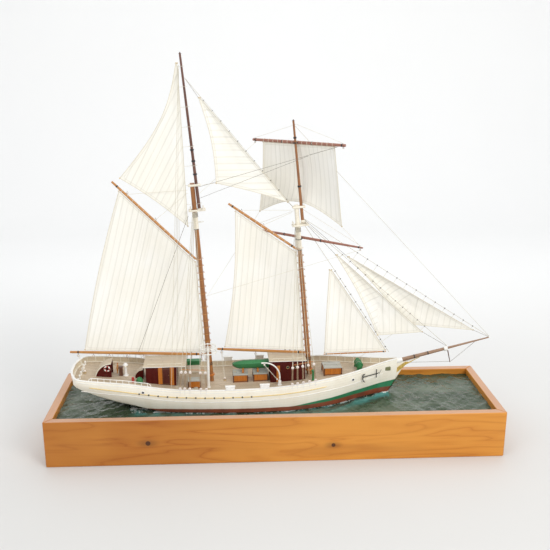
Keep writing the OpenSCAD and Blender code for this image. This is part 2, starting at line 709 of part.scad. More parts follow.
// Shroud number i leaves its masthead a little abaft or ahead of its neighbour
function shroud_head(foot, rake, z, side, i) = from_mast(foot, rake, [1.4 * i - 5, side * 7, z]);
module each_shroud() {
    for (s = [-1, 1], i = [0:4]) {
        for (m = [0, 1]) {
            $head = m == 0 ? shroud_head(main_foot, main_rake, main_trees_z - 4, s, i)
                : shroud_head(fore_foot, fore_rake, fore_trees_z - 4, s, i);
            $x = m == 0 ? main_shroud_x[i] : fore_shroud_x[i];
            $s = s;
            children();
        }
    }
}
module deadeyes() { color("#f4efe2") aboard() each_shroud() deadeye_pair($x, $s, $head); }
module shrouds() {
    color("#cfc6b0") aboard() each_shroud() {
        low = [$x, $s * (rail_y($x) - 0.5), rail_z($x) + cap_t + deadeye_r + 0.3];
        line(low + ($head - low) * (lanyard + deadeye_r + 0.1) / norm($head - low), $head);
    }
}
main_truck = from_mast(main_foot, main_rake, [main_heel.x - main_topmast_l * sin(main_top_lean), 0,
    main_heel.z + main_topmast_l]);
fore_truck = from_mast(fore_foot, fore_rake, [fore_heel.x - fore_topmast_l * sin(fore_top_lean), 0,
    fore_heel.z + fore_topmast_l]);
module backstay(x, s, down) {
    line([x, s * (rail_y(x) - 0.5), rail_z(x) + cap_t + 0.1], main_truck + [-3.4, s * 2, down], 0.4);
}
module stays() {
    color("#8d8571") aboard() {
        line(stay_foot, [63.5, 0, 405], 0.6);
        line([404, 0, 110], [69.5, 0, 406.2], 0.5);
        line(sprit_tip - [2, 0, -2], [64.1, 0, 416.7], 0.5);
        line(sprit_tip - [0.5, 0, -2], fore_truck + [4.3, 0, -13.4], 0.4);
        line([37.3, 0, 445.7], [-187.7, 0, 716], 0.45);
        line([412.4, 0, 70], [310, 0, 71], 0.35);
        line([416, 0, 70], [470, 0, 117], 0.35);
        for (s = [-1, 1], i = [0, 1]) backstay(-234 + 12 * i, s, -26 - 8 * i);
    }
}
// A point given beside the yards, in the ship's frame
function by_yards(p) = let (h = p.z - yard_z, c = cos(yard_plane_lean), s = sin(yard_plane_lean),
        q = turned([p.x, yard_off + p.y * c - h * s, p.y * s + h * c], -brace))
    from_mast(fore_foot, fore_rake, [0, 0, yard_z] + from_mast([0, 0, 0], -parrel_lean, q));
// Starboard topsail brace: a pendant that turns with the yard and a fall that stays with the ship
pendant = 60;
brace_a = by_yards(yard_end(topsail_yard_half - 19, topsail_yard_z - 4, 1, topsail_yard_tilt));
brace_b = from_mast(main_foot, main_rake, [14, -3, main_head_z - 9]);
function along_brace(d) = brace_a + (brace_b - brace_a) * d / norm(brace_b - brace_a);
// Lines that lead from a moving spar or a sail's corner to the ship
module sheets_and_braces() {
    main_end = from_mast(main_foot, main_rake, turned([-296, 0, 73], -main_swing));
    fore_end = from_mast(fore_foot, fore_rake, turned([-198, 0, 62], -fore_swing));
    color("#8d8571") aboard() {
        line(main_end, [main_end.x + 16, 0, deck_z(-440)], 0.45);
        line(fore_end, [fore_end.x + 6, 0, deck_z(-120)], 0.45);
        line(along_brace(pendant + 2), brace_b, 0.35);
        line(along_brace(pendant + 2) - [0, 0, 1],
            from_mast(main_foot, main_rake, [12, -3, main_head_z - 34]), 0.35);
        line(by_yards(yard_end(topsail_yard_half - 8, topsail_yard_z - 4, -1, topsail_yard_tilt)),
            from_mast(main_foot, main_rake, [14, 3, main_head_z - 24]), 0.35);
        for (s = [-1, 1]) line(by_yards(yard_end(fore_yard_half - 3, yard_z - 4, s, fore_yard_tilt)),
            from_mast(main_foot, main_rake, [8, s * 3, 190]), 0.35);
        line([-129, 0, 498], from_mast(main_foot, main_rake, [16, 0, main_head_z - 8.6]), 0.35);
        line([237, 6, 138], [158, rail_y(158) - 5, rail_z(158) + 2], 0.35);
        line([307, 12, 161], [206, rail_y(206) - 5, rail_z(206) + 2], 0.35);
    }
}
module yard_lifts() {
    color("#8d8571") aboard() line(brace_a, along_brace(pendant), 0.5);
    color("#8d8571") at_yards() {
        for (s = [-1, 1]) {
            line(yard_end(topsail_yard_half - 4, topsail_yard_z + 3.8, s, topsail_yard_tilt),
                [s * 1.2, 0, topsail_yard_z + 38], 0.35);
            line(yard_end(fore_yard_half - 4, yard_z + 3.4, s, fore_yard_tilt),
                [s * 1.2, 0, yard_z + 66], 0.35);
        }
    }
}
module hoops(r, z0, z1, n) {
    for (i = [0:n - 1]) translate([0, 0, z0 + (z1 - z0) * i / (n - 1)])
        rotate_extrude($fn = 48) translate([r + 1.5, 0]) circle(r = 0.8, $fn = 16);
}
module main_hoops_and_halyards() {
    color("#f0ead8") at_main_swing() {
        hoops(mast_r, 70, 262, 13);
        line([-140, -4, 431], [-11, -3, 431], 0.4);
        line([-86, -4, 371], [-11, -3, 425], 0.4);
        line([-158, -5, 71], [-14, -7, 376], 0.4);
    }
}
module fore_hoops_and_halyards() {
    color("#f0ead8") at_fore_swing() {
        hoops(mast_r, 62, 276, 14);
        line([-120, 0, 388], [-11, 0, 379], 0.4);
        line([-75, 0, 351], [-11, 0, 374], 0.4);
    }
}

base_long_boards();
base_end_boards();
base_bottom_panel();
base_corner_blocks();
sea_support_panel();
sea();
hull();
stem();
deck();
cap_rail();
trailboards();
aft_deckhouse();
forward_deckhouse();
house_joinery();
house_roofs();
wheel_shelter();
lifebuoy();
steering_wheel();
wheel_pedestal();
binnacle();
hatch_coamings();
hatch_lids();
boat();
boat_chocks();
davit();
ring_stand();
windlass_frame();
windlass_drum();
anchors();
deck_lockers();
rail_fittings();
main_lower_mast();
main_topmast();
fore_lower_mast();
fore_topmast();
crosstrees();
bowsprit();
dolphin_striker();
main_boom();
main_gaff();
fore_boom();
fore_gaff();
fore_yard();
topsail_yard();
staysail_club();
main_hoops_and_halyards();
fore_hoops_and_halyards();
mainsail();
gaff_topsail();
topmast_staysail();
foresail();
square_topsail();
fore_staysail();
jib();
flying_jib();
deadeyes();
shrouds();
stays();
sheets_and_braces();
yard_lifts();
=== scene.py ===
"""Looks for the model sailing ship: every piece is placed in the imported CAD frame, in metres."""
import math

import bmesh
import bpy
import numpy as np
from mathutils import Matrix, Vector


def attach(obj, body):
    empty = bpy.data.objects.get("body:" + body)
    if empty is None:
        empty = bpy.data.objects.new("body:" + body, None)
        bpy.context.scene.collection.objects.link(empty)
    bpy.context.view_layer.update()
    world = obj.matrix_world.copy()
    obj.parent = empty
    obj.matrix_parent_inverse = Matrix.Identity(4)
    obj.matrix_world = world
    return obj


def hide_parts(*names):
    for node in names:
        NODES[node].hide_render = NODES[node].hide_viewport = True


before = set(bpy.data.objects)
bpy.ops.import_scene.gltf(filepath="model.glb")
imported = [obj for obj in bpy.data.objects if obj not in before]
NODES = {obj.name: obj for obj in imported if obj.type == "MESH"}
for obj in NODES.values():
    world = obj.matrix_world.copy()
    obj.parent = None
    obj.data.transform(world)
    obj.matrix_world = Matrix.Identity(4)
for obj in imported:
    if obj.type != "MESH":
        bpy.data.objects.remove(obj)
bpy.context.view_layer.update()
SHIP = "ship_and_base"

# ---------------------------------------------------------------- lines of the ship, in mm
HEADING, SHIP_Y, SEA_TOP = math.radians(2), 13.0, 92.0
HULL_AFT, WELL_FWD = -458.0, 277.0
BULWARK, WALL, CAP_T = 12.5, 3.2, 1.6
BASE_L, BASE_W, BASE_H, BOARD = 1000.0, 264.0, 106.0, 18.0
RAIL_B = np.array([[-458, 14], [-454, 40], [-448, 60], [-438, 71], [-420, 75], [-395, 77], [-330, 80],
    [-262, 83], [-163, 87], [-60, 89], [0, 88], [50, 83.5], [80, 79], [117, 71.5], [148, 61.5],
    [185, 46], [210, 35], [235, 23], [262, 12], [286, 5.5]], float)
RAIL_H = np.array([[-458, 84], [-440, 83], [-395, 79], [-328, 72.5], [-286, 66], [-261, 62], [-220, 57.5],
    [-163, 54.7], [-116, 54], [-45, 55.3], [10, 57.5], [50, 60], [80, 63], [117, 66.5], [148, 68.5],
    [182, 71], [206, 73.5], [233, 76.5], [262, 79.5], [303, 84]], float)
LOW_B = np.array([[-458, 12], [-448, 55], [-438, 66], [-394, 66], [-354, 66], [-313, 66], [-262, 68],
    [-222, 72], [-173, 78], [-117, 83], [-60, 86], [16, 85], [74, 77], [119, 64], [143, 54],
    [193, 29], [234, 10], [258, 3], [286, 3]], float)
LOW_H = np.array([[-458, 71], [-448, 67], [-438, 62], [-394, 42], [-354, 28.5], [-313, 16], [-262, 2],
    [-240, 0], [262, 0], [275, 15], [286, 38]], float)
KEEL_H = np.array([[-458, 68], [-440, 52], [-394, 22], [-354, 6], [-330, 0], [262, 0], [275, 14],
    [286, 36.8]], float)


def look(x, t):
    return np.interp(x, t[:, 0], t[:, 1])


def fair(x, t, d=8):
    return (look(x - d, t) + 2 * look(x, t) + look(x + d, t)) / 4


def rail_y(x): return look(x, RAIL_B) * 0.5 + fair(x, RAIL_B) * 0.5
def rail_z(x): return fair(x, RAIL_H)
def deck_z(x): return rail_z(x) - BULWARK
def inner_y(x): return look(x + (WALL if x > 0 else -WALL), RAIL_B) - WALL
def low_z(x): return look(x, LOW_H) if x > 250 else fair(x, LOW_H)
def keel_z(x): return look(x, KEEL_H) if x > 250 else fair(x, KEEL_H)


def skin_y(x, z):
    b, z1, zt = look(x, LOW_B), low_z(x), rail_z(x)
    s = max(0.0, min(1.0, (z - z1) / (zt - z1)))
    return b + (rail_y(x) - b) * math.sin(math.radians(90 * min(1, 1.15 * s)))


# ---------------------------------------------------------------- frames of the part
def rot(p, axis, deg):
    p = np.atleast_2d(np.asarray(p, float))
    c, s = math.cos(math.radians(deg)), math.sin(math.radians(deg))
    i, j = {"x": (1, 2), "y": (2, 0), "z": (0, 1)}[axis]
    out = p.copy()
    out[:, i] = p[:, i] * c - p[:, j] * s
    out[:, j] = p[:, i] * s + p[:, j] * c
    return out


MAIN_FOOT, FORE_FOOT = np.array([-147.5, 0, 55.0]), np.array([79.7, 0, 60.0])
MAIN_RAKE, FORE_RAKE, MAIN_SWING, FORE_SWING = 4, 5, 4, 5.5
BRACE, YARD_Z, YARD_OFF, TOP_YARD_Z, TOP_YARD_OFF = 42, 314.0, 14.0, 524.0, 7.0
MAIN_HEEL, FORE_HEEL = np.array([10.4, 0, 384.0]), np.array([11.4, 0, 350.0])
TOP_LEAN_MAIN, TOP_LEAN_FORE, MAIN_TOP_L, FORE_TOP_L = 1.6, 0.9, 330.0, 222.0
FORE_YARD_TILT, TOP_YARD_TILT = 2.5, 1.5
MAIN_HEAD, FORE_HEAD, MAIN_TREES, FORE_TREES = 445.0, 390.0, 386.0, 345.0
PARREL_LEAN = math.degrees(math.atan((FORE_HEEL[0] - (TOP_YARD_Z - FORE_HEEL[2])
    * math.tan(math.radians(TOP_LEAN_FORE))) / (TOP_YARD_Z - YARD_Z)))
PLANE_LEAN = math.degrees(math.atan((YARD_OFF - TOP_YARD_OFF) / (TOP_YARD_Z - YARD_Z)))


def ship(p): return np.atleast_2d(np.asarray(p, float))
def main(p): return MAIN_FOOT + rot(p, "y", -MAIN_RAKE)
def fore(p): return FORE_FOOT + rot(p, "y", -FORE_RAKE)
def main_sw(p): return main(rot(p, "z", -MAIN_SWING))
def fore_sw(p): return fore(rot(p, "z", -FORE_SWING))


def yards(p):
    q = rot(np.atleast_2d(np.asarray(p, float)) - [0, 0, YARD_Z], "x", PLANE_LEAN) + [0, YARD_OFF, 0]
    return fore(rot(rot(q, "z", -BRACE), "y", PARREL_LEAN) + [0, 0, YARD_Z])


def to_row(p):
    p = np.atleast_2d(np.asarray(p, float))
    c, s = math.cos(HEADING), math.sin(HEADING)
    return np.stack([p[:, 0] * c - p[:, 1] * s, SHIP_Y + p[:, 0] * s + p[:, 1] * c, SEA_TOP + p[:, 2]],
        1) / 1000


def plain(p): return np.atleast_2d(np.asarray(p, float)) / 1000


# ---------------------------------------------------------------- materials
class Nodes:
    """A material and the few node recipes that all the finishes share."""

    def __init__(self, name, rough=0.5, **sockets):
        self.mat = bpy.data.materials.new(name)
        self.mat.use_nodes = True
        self.t = self.mat.node_tree
        self.bsdf = self.t.nodes["Principled BSDF"]
        self.bsdf.inputs["Roughness"].default_value = rough
        for k, v in sockets.items():
            self.bsdf.inputs[k.replace("_", " ")].default_value = v

    def new(self, kind, **props):
        n = self.t.nodes.new("ShaderNode" + kind)
        for k, v in props.items():
            setattr(n, k, v)
        return n

    def put(self, socket, value):
        if hasattr(value, "is_output"):
            self.t.links.new(value, socket)
        elif isinstance(value, (tuple, list)) and len(value) == 3 and socket.type == "RGBA":
            socket.default_value = (*value, 1)
        else:
            socket.default_value = value

    def coord(self, kind="Object"): return self.new("TexCoord").outputs[kind]

    def attr(self, name, out="Fac"): return self.new("Attribute", attribute_name=name).outputs[out]

    def mapped(self, vec, scale=(1, 1, 1), turn=(0, 0, 0), move=(0, 0, 0)):
        n = self.new("Mapping")
        self.put(n.inputs["Vector"], vec)
        n.inputs["Scale"].default_value = scale
        n.inputs["Rotation"].default_value = turn
        n.inputs["Location"].default_value = move
        return n.outputs[0]

    def noise(self, vec, scale, detail=3, rough=0.5, distort=0.0):
        n = self.new("TexNoise")
        self.put(n.inputs["Vector"], vec)
        for k, v in (("Scale", scale), ("Detail", detail), ("Roughness", rough), ("Distortion", distort)):
            n.inputs[k].default_value = v
        return n.outputs["Fac"]

    def math(self, op, a, b=0.0, c=0.0):
        n = self.new("Math", operation=op)
        for i, v in enumerate((a, b, c)):
            self.put(n.inputs[i], v)
        return n.outputs[0]

    def mul(self, a, b): return self.math("MULTIPLY", a, b)
    def add(self, a, b): return self.math("ADD", a, b)
    def sub(self, a, b): return self.math("SUBTRACT", a, b)

    def length(self, a, b):
        return self.math("SQRT", self.add(self.math("POWER", a, 2.0), self.math("POWER", b, 2.0)))

    def combine(self, *parts):
        n = self.new("CombineXYZ")
        for i, v in enumerate(parts):
            self.put(n.inputs[i], v)
        return n.outputs[0]

    def between(self, v, lo, hi):
        n = self.new("MapRange", interpolation_type="SMOOTHSTEP")
        self.put(n.inputs["Value"], v)
        n.inputs["From Min"].default_value = lo
        n.inputs["From Max"].default_value = hi
        return n.outputs["Result"]

    def mix(self, fac, a, b, blend="MIX"):
        n = self.new("Mix", data_type="RGBA", blend_type=blend)
        self.put(n.inputs[0], fac)
        self.put(n.inputs[6], a)
        self.put(n.inputs[7], b)
        return n.outputs[2]

    def tint(self, col, colour, share, value, lo, hi):
        """col, moved towards colour by up to share where value goes from lo to hi."""
        return self.mix(self.mul(self.between(value, lo, hi), share), col, colour)

    def ramp(self, fac, *stops):
        n = self.new("ValToRGB")
        self.put(n.inputs[0], fac)
        e = n.color_ramp.elements
        while len(e) < len(stops):
            e.new(0.5)
        for el, (pos, col) in zip(e, stops):
            el.position, el.color = pos, (*col, 1)
        return n.outputs[0]

    def xyz(self, vec):
        n = self.new("SeparateXYZ")
        self.put(n.inputs[0], vec)
        return n.outputs

    def worn_edge(self, radius=0.0006):
        """1 on outside and inside corners, 0 on flat faces."""
        probe = self.new("Bevel", samples=4)
        probe.inputs["Radius"].default_value = radius
        dot = self.new("VectorMath", operation="DOT_PRODUCT")
        self.put(dot.inputs[0], probe.outputs[0])
        self.put(dot.inputs[1], self.new("NewGeometry").outputs["Normal"])
        return self.between(self.math("SUBTRACT", 1.0, dot.outputs["Value"]), 0.02, 0.2)

    def finish(self, colour=None, rough=None, height=None, distance=0.0003, strength=0.5):
        if colour is not None:
            self.put(self.bsdf.inputs["Base Color"], colour)
        if rough is not None:
            self.put(self.bsdf.inputs["Roughness"], rough)
        if height is not None:
            b = self.new("Bump")
            b.inputs["Strength"].default_value = strength
            b.inputs["Distance"].default_value = distance
            self.put(b.inputs["Height"], height)
            self.put(self.bsdf.inputs["Normal"], b.outputs[0])
        return self.mat


def shade(c, k): return tuple(min(1.0, x * k) for x in c)


def painted(name, colour, rough=0.4, worn=None, size=1.0, coat=0.0, spec=0.5):
    """Brushed paint: faint strokes, uneven gloss, and a worn tint on the edges."""
    m = Nodes(name, rough, Coat_Weight=coat, Specular_IOR_Level=spec)
    o = m.coord()
    wide = m.noise(o, 26 / size, 4, 0.6)
    fine = m.noise(o, 420 / size, 3)
    col = m.mix(m.between(wide, 0.35, 0.7), shade(colour, 0.86), colour)
    col = m.mix(m.between(fine, 0.45, 0.75), col, shade(colour, 1.07))
    chipped = m.mul(m.worn_edge(0.0004 * size), m.between(m.noise(o, 90 / size, 3), 0.4, 0.6))
    col = m.mix(m.mul(chipped, 0.45), col, worn or shade(colour, 1.35))
    return m.finish(col, m.between(m.mul(fine, 1.6), -1.0 + rough, 3.0 - rough), fine,
        0.0002 * size, 0.35)


def wooden(name, dark, light, axis="X", rough=0.32, scale=1.0, coat=0.25, turn=0.0):
    """Varnished timber with its grain along one axis."""
    m = Nodes(name, rough, Coat_Weight=coat, Coat_Roughness=0.18)
    stretch = {"X": (0.06, 1, 1), "Y": (1, 0.06, 1), "Z": (1, 1, 0.06)}[axis]
    v = m.mapped(m.coord(), tuple(s * 900 / scale for s in stretch), (0, 0, turn))
    grain = m.noise(v, 0.35, 5, 0.62, 1.2)
    pores = m.noise(v, 2.2, 3)
    col = m.ramp(grain, (0.3, dark), (0.52, tuple((a + b) / 2 for a, b in zip(dark, light))), (0.72, light))
    col = m.mix(m.between(pores, 0.55, 0.75), col, shade(dark, 0.75))
    return m.finish(col, m.between(grain, -0.9, 1.9) if rough is None else None, pores, 0.00012, 0.3)


def pine(name, along):
    """Lacquered pine: long growth rings that bend round a few knots, and painted shade that darkens each
    board towards its negative end.
    """
    m = Nodes(name, 0.42, Coat_Weight=0.12, Coat_Roughness=0.25, Specular_IOR_Level=0.35)
    o = m.coord()
    x, y, z = m.xyz(o)
    a, b = (x, y) if along == "X" else (y, x)
    long_v = m.combine(a, m.mul(b, 7.0), m.mul(z, 9.0))
    drift = m.noise(long_v, 2.3, 3, 0.5, 0.4)
    knots, rings = None, m.mul(z, 30.0)
    for ka, kz, r in KNOTS[along]:
        da, dz = m.sub(a, ka), m.sub(z, kz)
        d = m.length(m.mul(da, 0.42), dz)
        rings = m.add(rings, m.mul(m.sub(1.0, m.between(d, 0.0, 0.03)), 1.3))
        k = m.sub(1.0, m.between(m.length(da, dz), r * 0.72, r * 1.12))
        knots = k if knots is None else m.math("MAXIMUM", knots, k)
        halo = m.sub(1.0, m.between(d, r * 0.4, r * 2.2))
        knots = m.math("MAXIMUM", knots, m.mul(halo, 0.38))
    wave = m.add(m.mul(drift, 9.0), rings)
    band = m.math("ABSOLUTE", m.math("SINE", m.mul(wave, 2.2)))
    fine = m.noise(m.mapped(long_v, (6, 60, 60)), 2.0, 4, 0.6)
    col = m.ramp(band, (0.0, (0.50, 0.165, 0.016)), (0.22, (0.585, 0.215, 0.025)),
        (1.0, (0.65, 0.26, 0.034)))
    # painted shade: the colour darkens towards the negative end of each board (the left of the long boards),
    # where less light falls
    pine_painted_shade = m.between(m.add(a, m.mul(drift, 0.5)), -0.25, 0.45)
    col = m.mix(pine_painted_shade, shade_mix(m, col, (0.66, 0.56, 0.50)), col)
    col = m.tint(col, (0.40, 0.12, 0.012), 0.35, fine, 0.5, 0.8)
    col = m.tint(col, (0.30, 0.085, 0.008), 0.5, m.noise(long_v, 3.1, 2), 0.55, 0.8)
    col = m.tint(col, (0.74, 0.33, 0.055), 0.25, m.noise(o, 5.0, 2), 0.4, 0.75)
    col = m.mix(m.mul(knots, 0.9), col, (0.035, 0.009, 0.004))
    top = m.between(z, (BASE_H - 0.6) / 1000, BASE_H / 1000)
    col = m.mix(m.mul(top, 0.72), col, (0.60, 0.38, 0.27))
    col = m.mix(m.mul(m.worn_edge(0.0016), 0.45), col, (0.72, 0.42, 0.24))
    return m.finish(col, None, m.add(fine, m.mul(knots, -0.8)), 0.00015, 0.25)


def shade_mix(m, col, tint): return m.mix(1.0, col, tint, "MULTIPLY")


KNOTS = {"X": [(-0.2801, 0.0519, 0.0062), (0.1203, 0.0375, 0.0052)],
    "Y": [(0.062, 0.061, 0.005), (-0.071, 0.03, 0.004)]}


PLANK_L = 0.085


def planked(name, seam, tones, width, turn=-HEADING, rough=0.55):
    """Laid planks along the ship with caulked seams and staggered butts."""
    m = Nodes(name, rough)
    v = m.mapped(m.coord(), (1, 1, 1), (0, 0, turn))
    x, y, _ = m.xyz(v)
    row = m.math("DIVIDE", y, width)
    n = m.math("FLOOR", row)
    frac = m.sub(row, n)
    near = m.math("MINIMUM", frac, m.sub(1.0, frac))
    jump = m.math("FRACT", m.mul(m.math("SINE", m.mul(n, 12.9)), 43.7))
    run = m.add(m.math("DIVIDE", x, PLANK_L), jump)
    butt, bn = m.math("FRACT", run), m.math("FLOOR", run)
    near_b = m.mul(m.math("MINIMUM", butt, m.sub(1.0, butt)), PLANK_L / width)
    line = m.between(m.math("MINIMUM", near, near_b), 0.05, 0.11)
    tone = m.math("FRACT", m.mul(m.math("SINE", m.add(m.mul(n, 7.7),
        m.mul(bn, 3.1))), 91.7))
    grain = m.noise(m.mapped(v, (60, 900, 60)), 1.0, 4, 0.6)
    col = m.ramp(tone, (0.0, tones[0]), (0.5, tones[1]), (1.0, tones[2]))
    col = m.tint(col, shade(tones[0], 0.7), 0.35, grain, 0.4, 0.8)
    col = m.tint(col, shade(tones[0], 0.8), 0.3, m.noise(v, 22, 3), 0.5, 0.8)
    col = m.mix(line, seam, col)
    return m.finish(col, None, m.add(line, m.mul(grain, 0.2)), 0.0003, 0.5)


HEM = 0.005


def sailcloth():
    """Cotton cloth sewn in narrow panels, with painted shade along its creases: UV.x runs across the panels,
    in panels.
    """
    m = Nodes("sailcloth", 0.88, Sheen_Weight=0.25, Sheen_Roughness=0.5)
    u, v, _ = m.xyz(m.coord("UV"))
    f = m.math("FRACT", u)
    near = m.math("MINIMUM", f, m.sub(1.0, f))
    seam = m.sub(1.0, m.between(near, 0.03, 0.09))
    along = m.combine(m.mul(u, 1.9), m.mul(v, 1.6))
    creases_and_painted_shade = m.noise(along, 1.0, 4, 0.6, 0.5)
    worn_seam = m.add(0.35, m.between(m.noise(along, 0.45, 2), 0.35, 0.65))
    stitch = m.sub(1.0, m.between(m.math("ABSOLUTE", m.sub(near, 0.085)), 0.008, 0.03))
    hem = m.attr("hem")
    tabled = m.sub(1.0, m.between(hem, HEM - 0.0004, HEM + 0.0002))
    hemline = m.sub(1.0, m.between(m.math("ABSOLUTE", m.sub(hem, HEM)), 0.0002, 0.0006))
    o = m.coord()
    weave = m.new("TexWave", wave_type="BANDS", bands_direction="DIAGONAL")
    m.put(weave.inputs["Vector"], o)
    weave.inputs["Scale"].default_value = 900
    cloud = m.noise(o, 9, 3)
    fleck = m.noise(o, 260, 4, 0.7)
    tone = m.math("FRACT", m.mul(m.math("SINE", m.mul(m.math("FLOOR", u), 5.3)), 37.1))
    col = m.mix(m.between(cloud, 0.3, 0.75), (0.935, 0.905, 0.82), (0.965, 0.95, 0.90))
    col = m.mix(m.mul(tone, 0.22), col, (0.90, 0.865, 0.76))
    col = m.tint(col, (0.84, 0.80, 0.69), 0.18, fleck, 0.5, 0.8)
    # painted shade: the cloth is darkened along its creases
    col = m.tint(col, (0.72, 0.70, 0.62), 0.30, creases_and_painted_shade, 0.5, 0.75)
    col = m.mix(m.mul(m.mul(seam, worn_seam), 0.26), col, (0.55, 0.53, 0.45))
    col = m.mix(m.mul(m.mul(stitch, worn_seam), 0.22), col, (0.42, 0.40, 0.34))
    col = m.mix(m.mul(tabled, 0.18), col, (0.70, 0.66, 0.54))
    col = m.mix(m.mul(hemline, 0.35), col, (0.48, 0.45, 0.36))
    height = m.add(m.mul(weave.outputs["Fac"], 0.12), seam)
    height = m.add(height, m.mul(m.noise(o, 60, 3), 1.2))
    height = m.add(height, m.mul(creases_and_painted_shade, 2.5))
    return m.finish(col, None, height, 0.0004, 0.45)


def ropey(name, dark, light, pitch=0.0012):
    """Laid line: the strands wind round it."""
    m = Nodes(name, 0.85, Sheen_Weight=0.15)
    o = m.coord()
    w = m.new("TexWave", wave_type="BANDS", bands_direction="DIAGONAL")
    m.put(w.inputs["Vector"], o)
    w.inputs["Scale"].default_value = 0.32 / pitch
    w.inputs["Distortion"].default_value = 1.0
    col = m.mix(w.outputs["Fac"], dark, light)
    col = m.mix(m.mul(m.noise(o, 90, 2), 0.4), col, shade(light, 0.8))
    return m.finish(col, None, w.outputs["Fac"], 0.0002, 0.6)


def metal(name, colour, rough, metallic=1.0):
    m = Nodes(name, rough, Metallic=metallic)
    o = m.coord()
    n = m.noise(o, 240, 4, 0.6)
    col = m.mix(m.between(n, 0.35, 0.75), shade(colour, 0.65), colour)
    return m.finish(col, m.add(m.mul(n, 0.25), rough - 0.1), n, 0.00015, 0.3)


def hull_paint():
    """White topsides over a green boot top and red-brown bottom; UV is (station, girth), in shares."""
    m = Nodes("hull_paint", 0.34, Coat_Weight=0.2, Coat_Roughness=0.2)
    place = m.attr("ship", "Vector")
    x, _, z = m.xyz(place)
    _, v, _ = m.xyz(m.coord("UV"))
    wob = m.mul(m.sub(m.noise(place, 40, 2), 0.5), 0.0012)
    # the green wedge's upper edge rises towards the bow
    green = m.new("FloatCurve")
    c = green.mapping.curves[0]
    edge_pts = [(-470, -12), (-10, 4), (83, 15.8), (171, 23.3), (234, 26.8), (300, 32)]
    (aft, lowest), (fwd, highest) = edge_pts[0], edge_pts[-1]
    run, climb = fwd - aft, highest - lowest
    for i, (px, pz) in enumerate(edge_pts):
        spot = ((px - aft) / run, (pz - lowest) / climb)
        if i in (0, len(edge_pts) - 1):
            c.points[0 if i == 0 else -1].location = spot
        else:
            c.points.new(*spot)
    for p in c.points:
        p.handle_type = "VECTOR"
    green.mapping.update()
    m.put(green.inputs["Value"], m.math("DIVIDE", m.add(x, -aft / 1000), run / 1000))
    top = m.add(m.sub(m.mul(green.outputs[0], climb / 1000), -lowest / 1000), wob)
    rise = m.mul(m.between(x, 0.05, 0.24), 0.0045)
    red_top = m.add(m.add(0.0095, rise), wob)
    above_green = m.between(m.sub(z, top), -0.0002, 0.0002)
    above_red = m.between(m.sub(z, red_top), -0.0002, 0.0002)
    mottle = m.noise(m.mapped(place, (1, 1, 0.35)), 34, 5, 0.65)
    fine = m.noise(place, 500, 3)
    white = m.mix(m.between(mottle, 0.35, 0.8), (0.97, 0.93, 0.81), (0.91, 0.85, 0.71))
    white = m.tint(white, (0.72, 0.64, 0.5), 0.25, fine, 0.55, 0.8)
    rows = m.math("FRACT", m.mul(v, 15.0))
    seam = m.sub(1.0, m.between(m.math("MINIMUM", rows, m.sub(1.0, rows)), 0.02, 0.06))
    white = m.mix(m.mul(seam, 0.22), white, (0.55, 0.47, 0.34))
    # the white turns darker and browner towards the water, in patches
    low = m.between(z, 0.02, 0.0)
    white = m.mix(m.mul(m.mul(low, m.between(mottle, 0.3, 0.7)), 0.45), white,
        (0.55, 0.47, 0.36))
    red = m.mix(m.between(mottle, 0.35, 0.7), (0.30, 0.075, 0.032), (0.19, 0.055, 0.03))
    grn = m.mix(m.between(mottle, 0.35, 0.7), (0.030, 0.205, 0.085), (0.045, 0.27, 0.13))
    col = m.mix(above_red, red, m.mix(above_green, grn, white))
    return m.finish(col, None, m.sub(m.mul(fine, 0.2), seam), 0.0003, 0.35)


def sea_water():
    """Painted plaster under gloss varnish: dark grey-green, with foam where the attribute says."""
    m = Nodes("sea_water", 0.3, Coat_Weight=0.12, Coat_Roughness=0.22, Specular_IOR_Level=0.35)
    o = m.coord()
    foam, teal = m.attr("foam"), m.attr("teal")
    wide = m.noise(m.mapped(o, (6, 14, 10)), 1.0, 4, 0.55)
    mid = m.noise(m.mapped(o, (24, 44, 30)), 1.0, 5, 0.6, 0.6)
    fine = m.noise(o, 160, 4, 0.65)
    col = m.ramp(wide, (0.33, (0.024, 0.044, 0.020)), (0.5, (0.056, 0.080, 0.046)),
        (0.68, (0.125, 0.158, 0.105)))
    col = m.tint(col, (0.20, 0.245, 0.205), 0.35, mid, 0.5, 0.72)
    col = m.tint(col, (0.018, 0.048, 0.024), 0.45, mid, 0.48, 0.28)
    col = m.mix(m.mul(teal, 0.8), col, (0.075, 0.29, 0.27))
    lace = m.between(m.add(foam, m.mul(m.sub(fine, 0.5), 1.3)), 0.42, 0.72)
    col = m.mix(m.mul(lace, 0.9), col, (0.80, 0.84, 0.80))
    return m.finish(col, m.add(0.12, m.mul(lace, 0.45)), m.add(fine,
        m.mul(mid, 1.4)), 0.0012, 0.5)


PINE_X, PINE_Y = pine("pine_long", "X"), pine("pine_end", "Y")
PLY = wooden("plywood", (0.36, 0.20, 0.09), (0.60, 0.40, 0.22), "X", 0.6, 3.0, 0.0)
HULL = hull_paint()
SEA = sea_water()
CREAM = painted("cream_paint", (0.88, 0.82, 0.69), 0.42)
WHITE = painted("white_paint", (0.93, 0.915, 0.87), 0.35, coat=0.2)
TAN = painted("bulwark_paint", (0.74, 0.64, 0.48), 0.5)
DECK = planked("deck_planks", (0.26, 0.185, 0.12), ((0.52, 0.41, 0.28), (0.60, 0.485, 0.345),
    (0.66, 0.54, 0.40)), 0.0034)
ROOF = planked("roof_canvas", (0.52, 0.43, 0.31), ((0.60, 0.505, 0.375), (0.62, 0.525, 0.39),
    (0.635, 0.54, 0.405)), 0.011, rough=0.7)
LID = planked("grey_lid", (0.25, 0.24, 0.21), ((0.43, 0.42, 0.36), (0.48, 0.47, 0.41), (0.52, 0.51, 0.45)),
    0.0045, rough=0.6)
MAROON = painted("maroon_paint", (0.088, 0.0085, 0.006), 0.5, (0.22, 0.05, 0.04), spec=0.2)
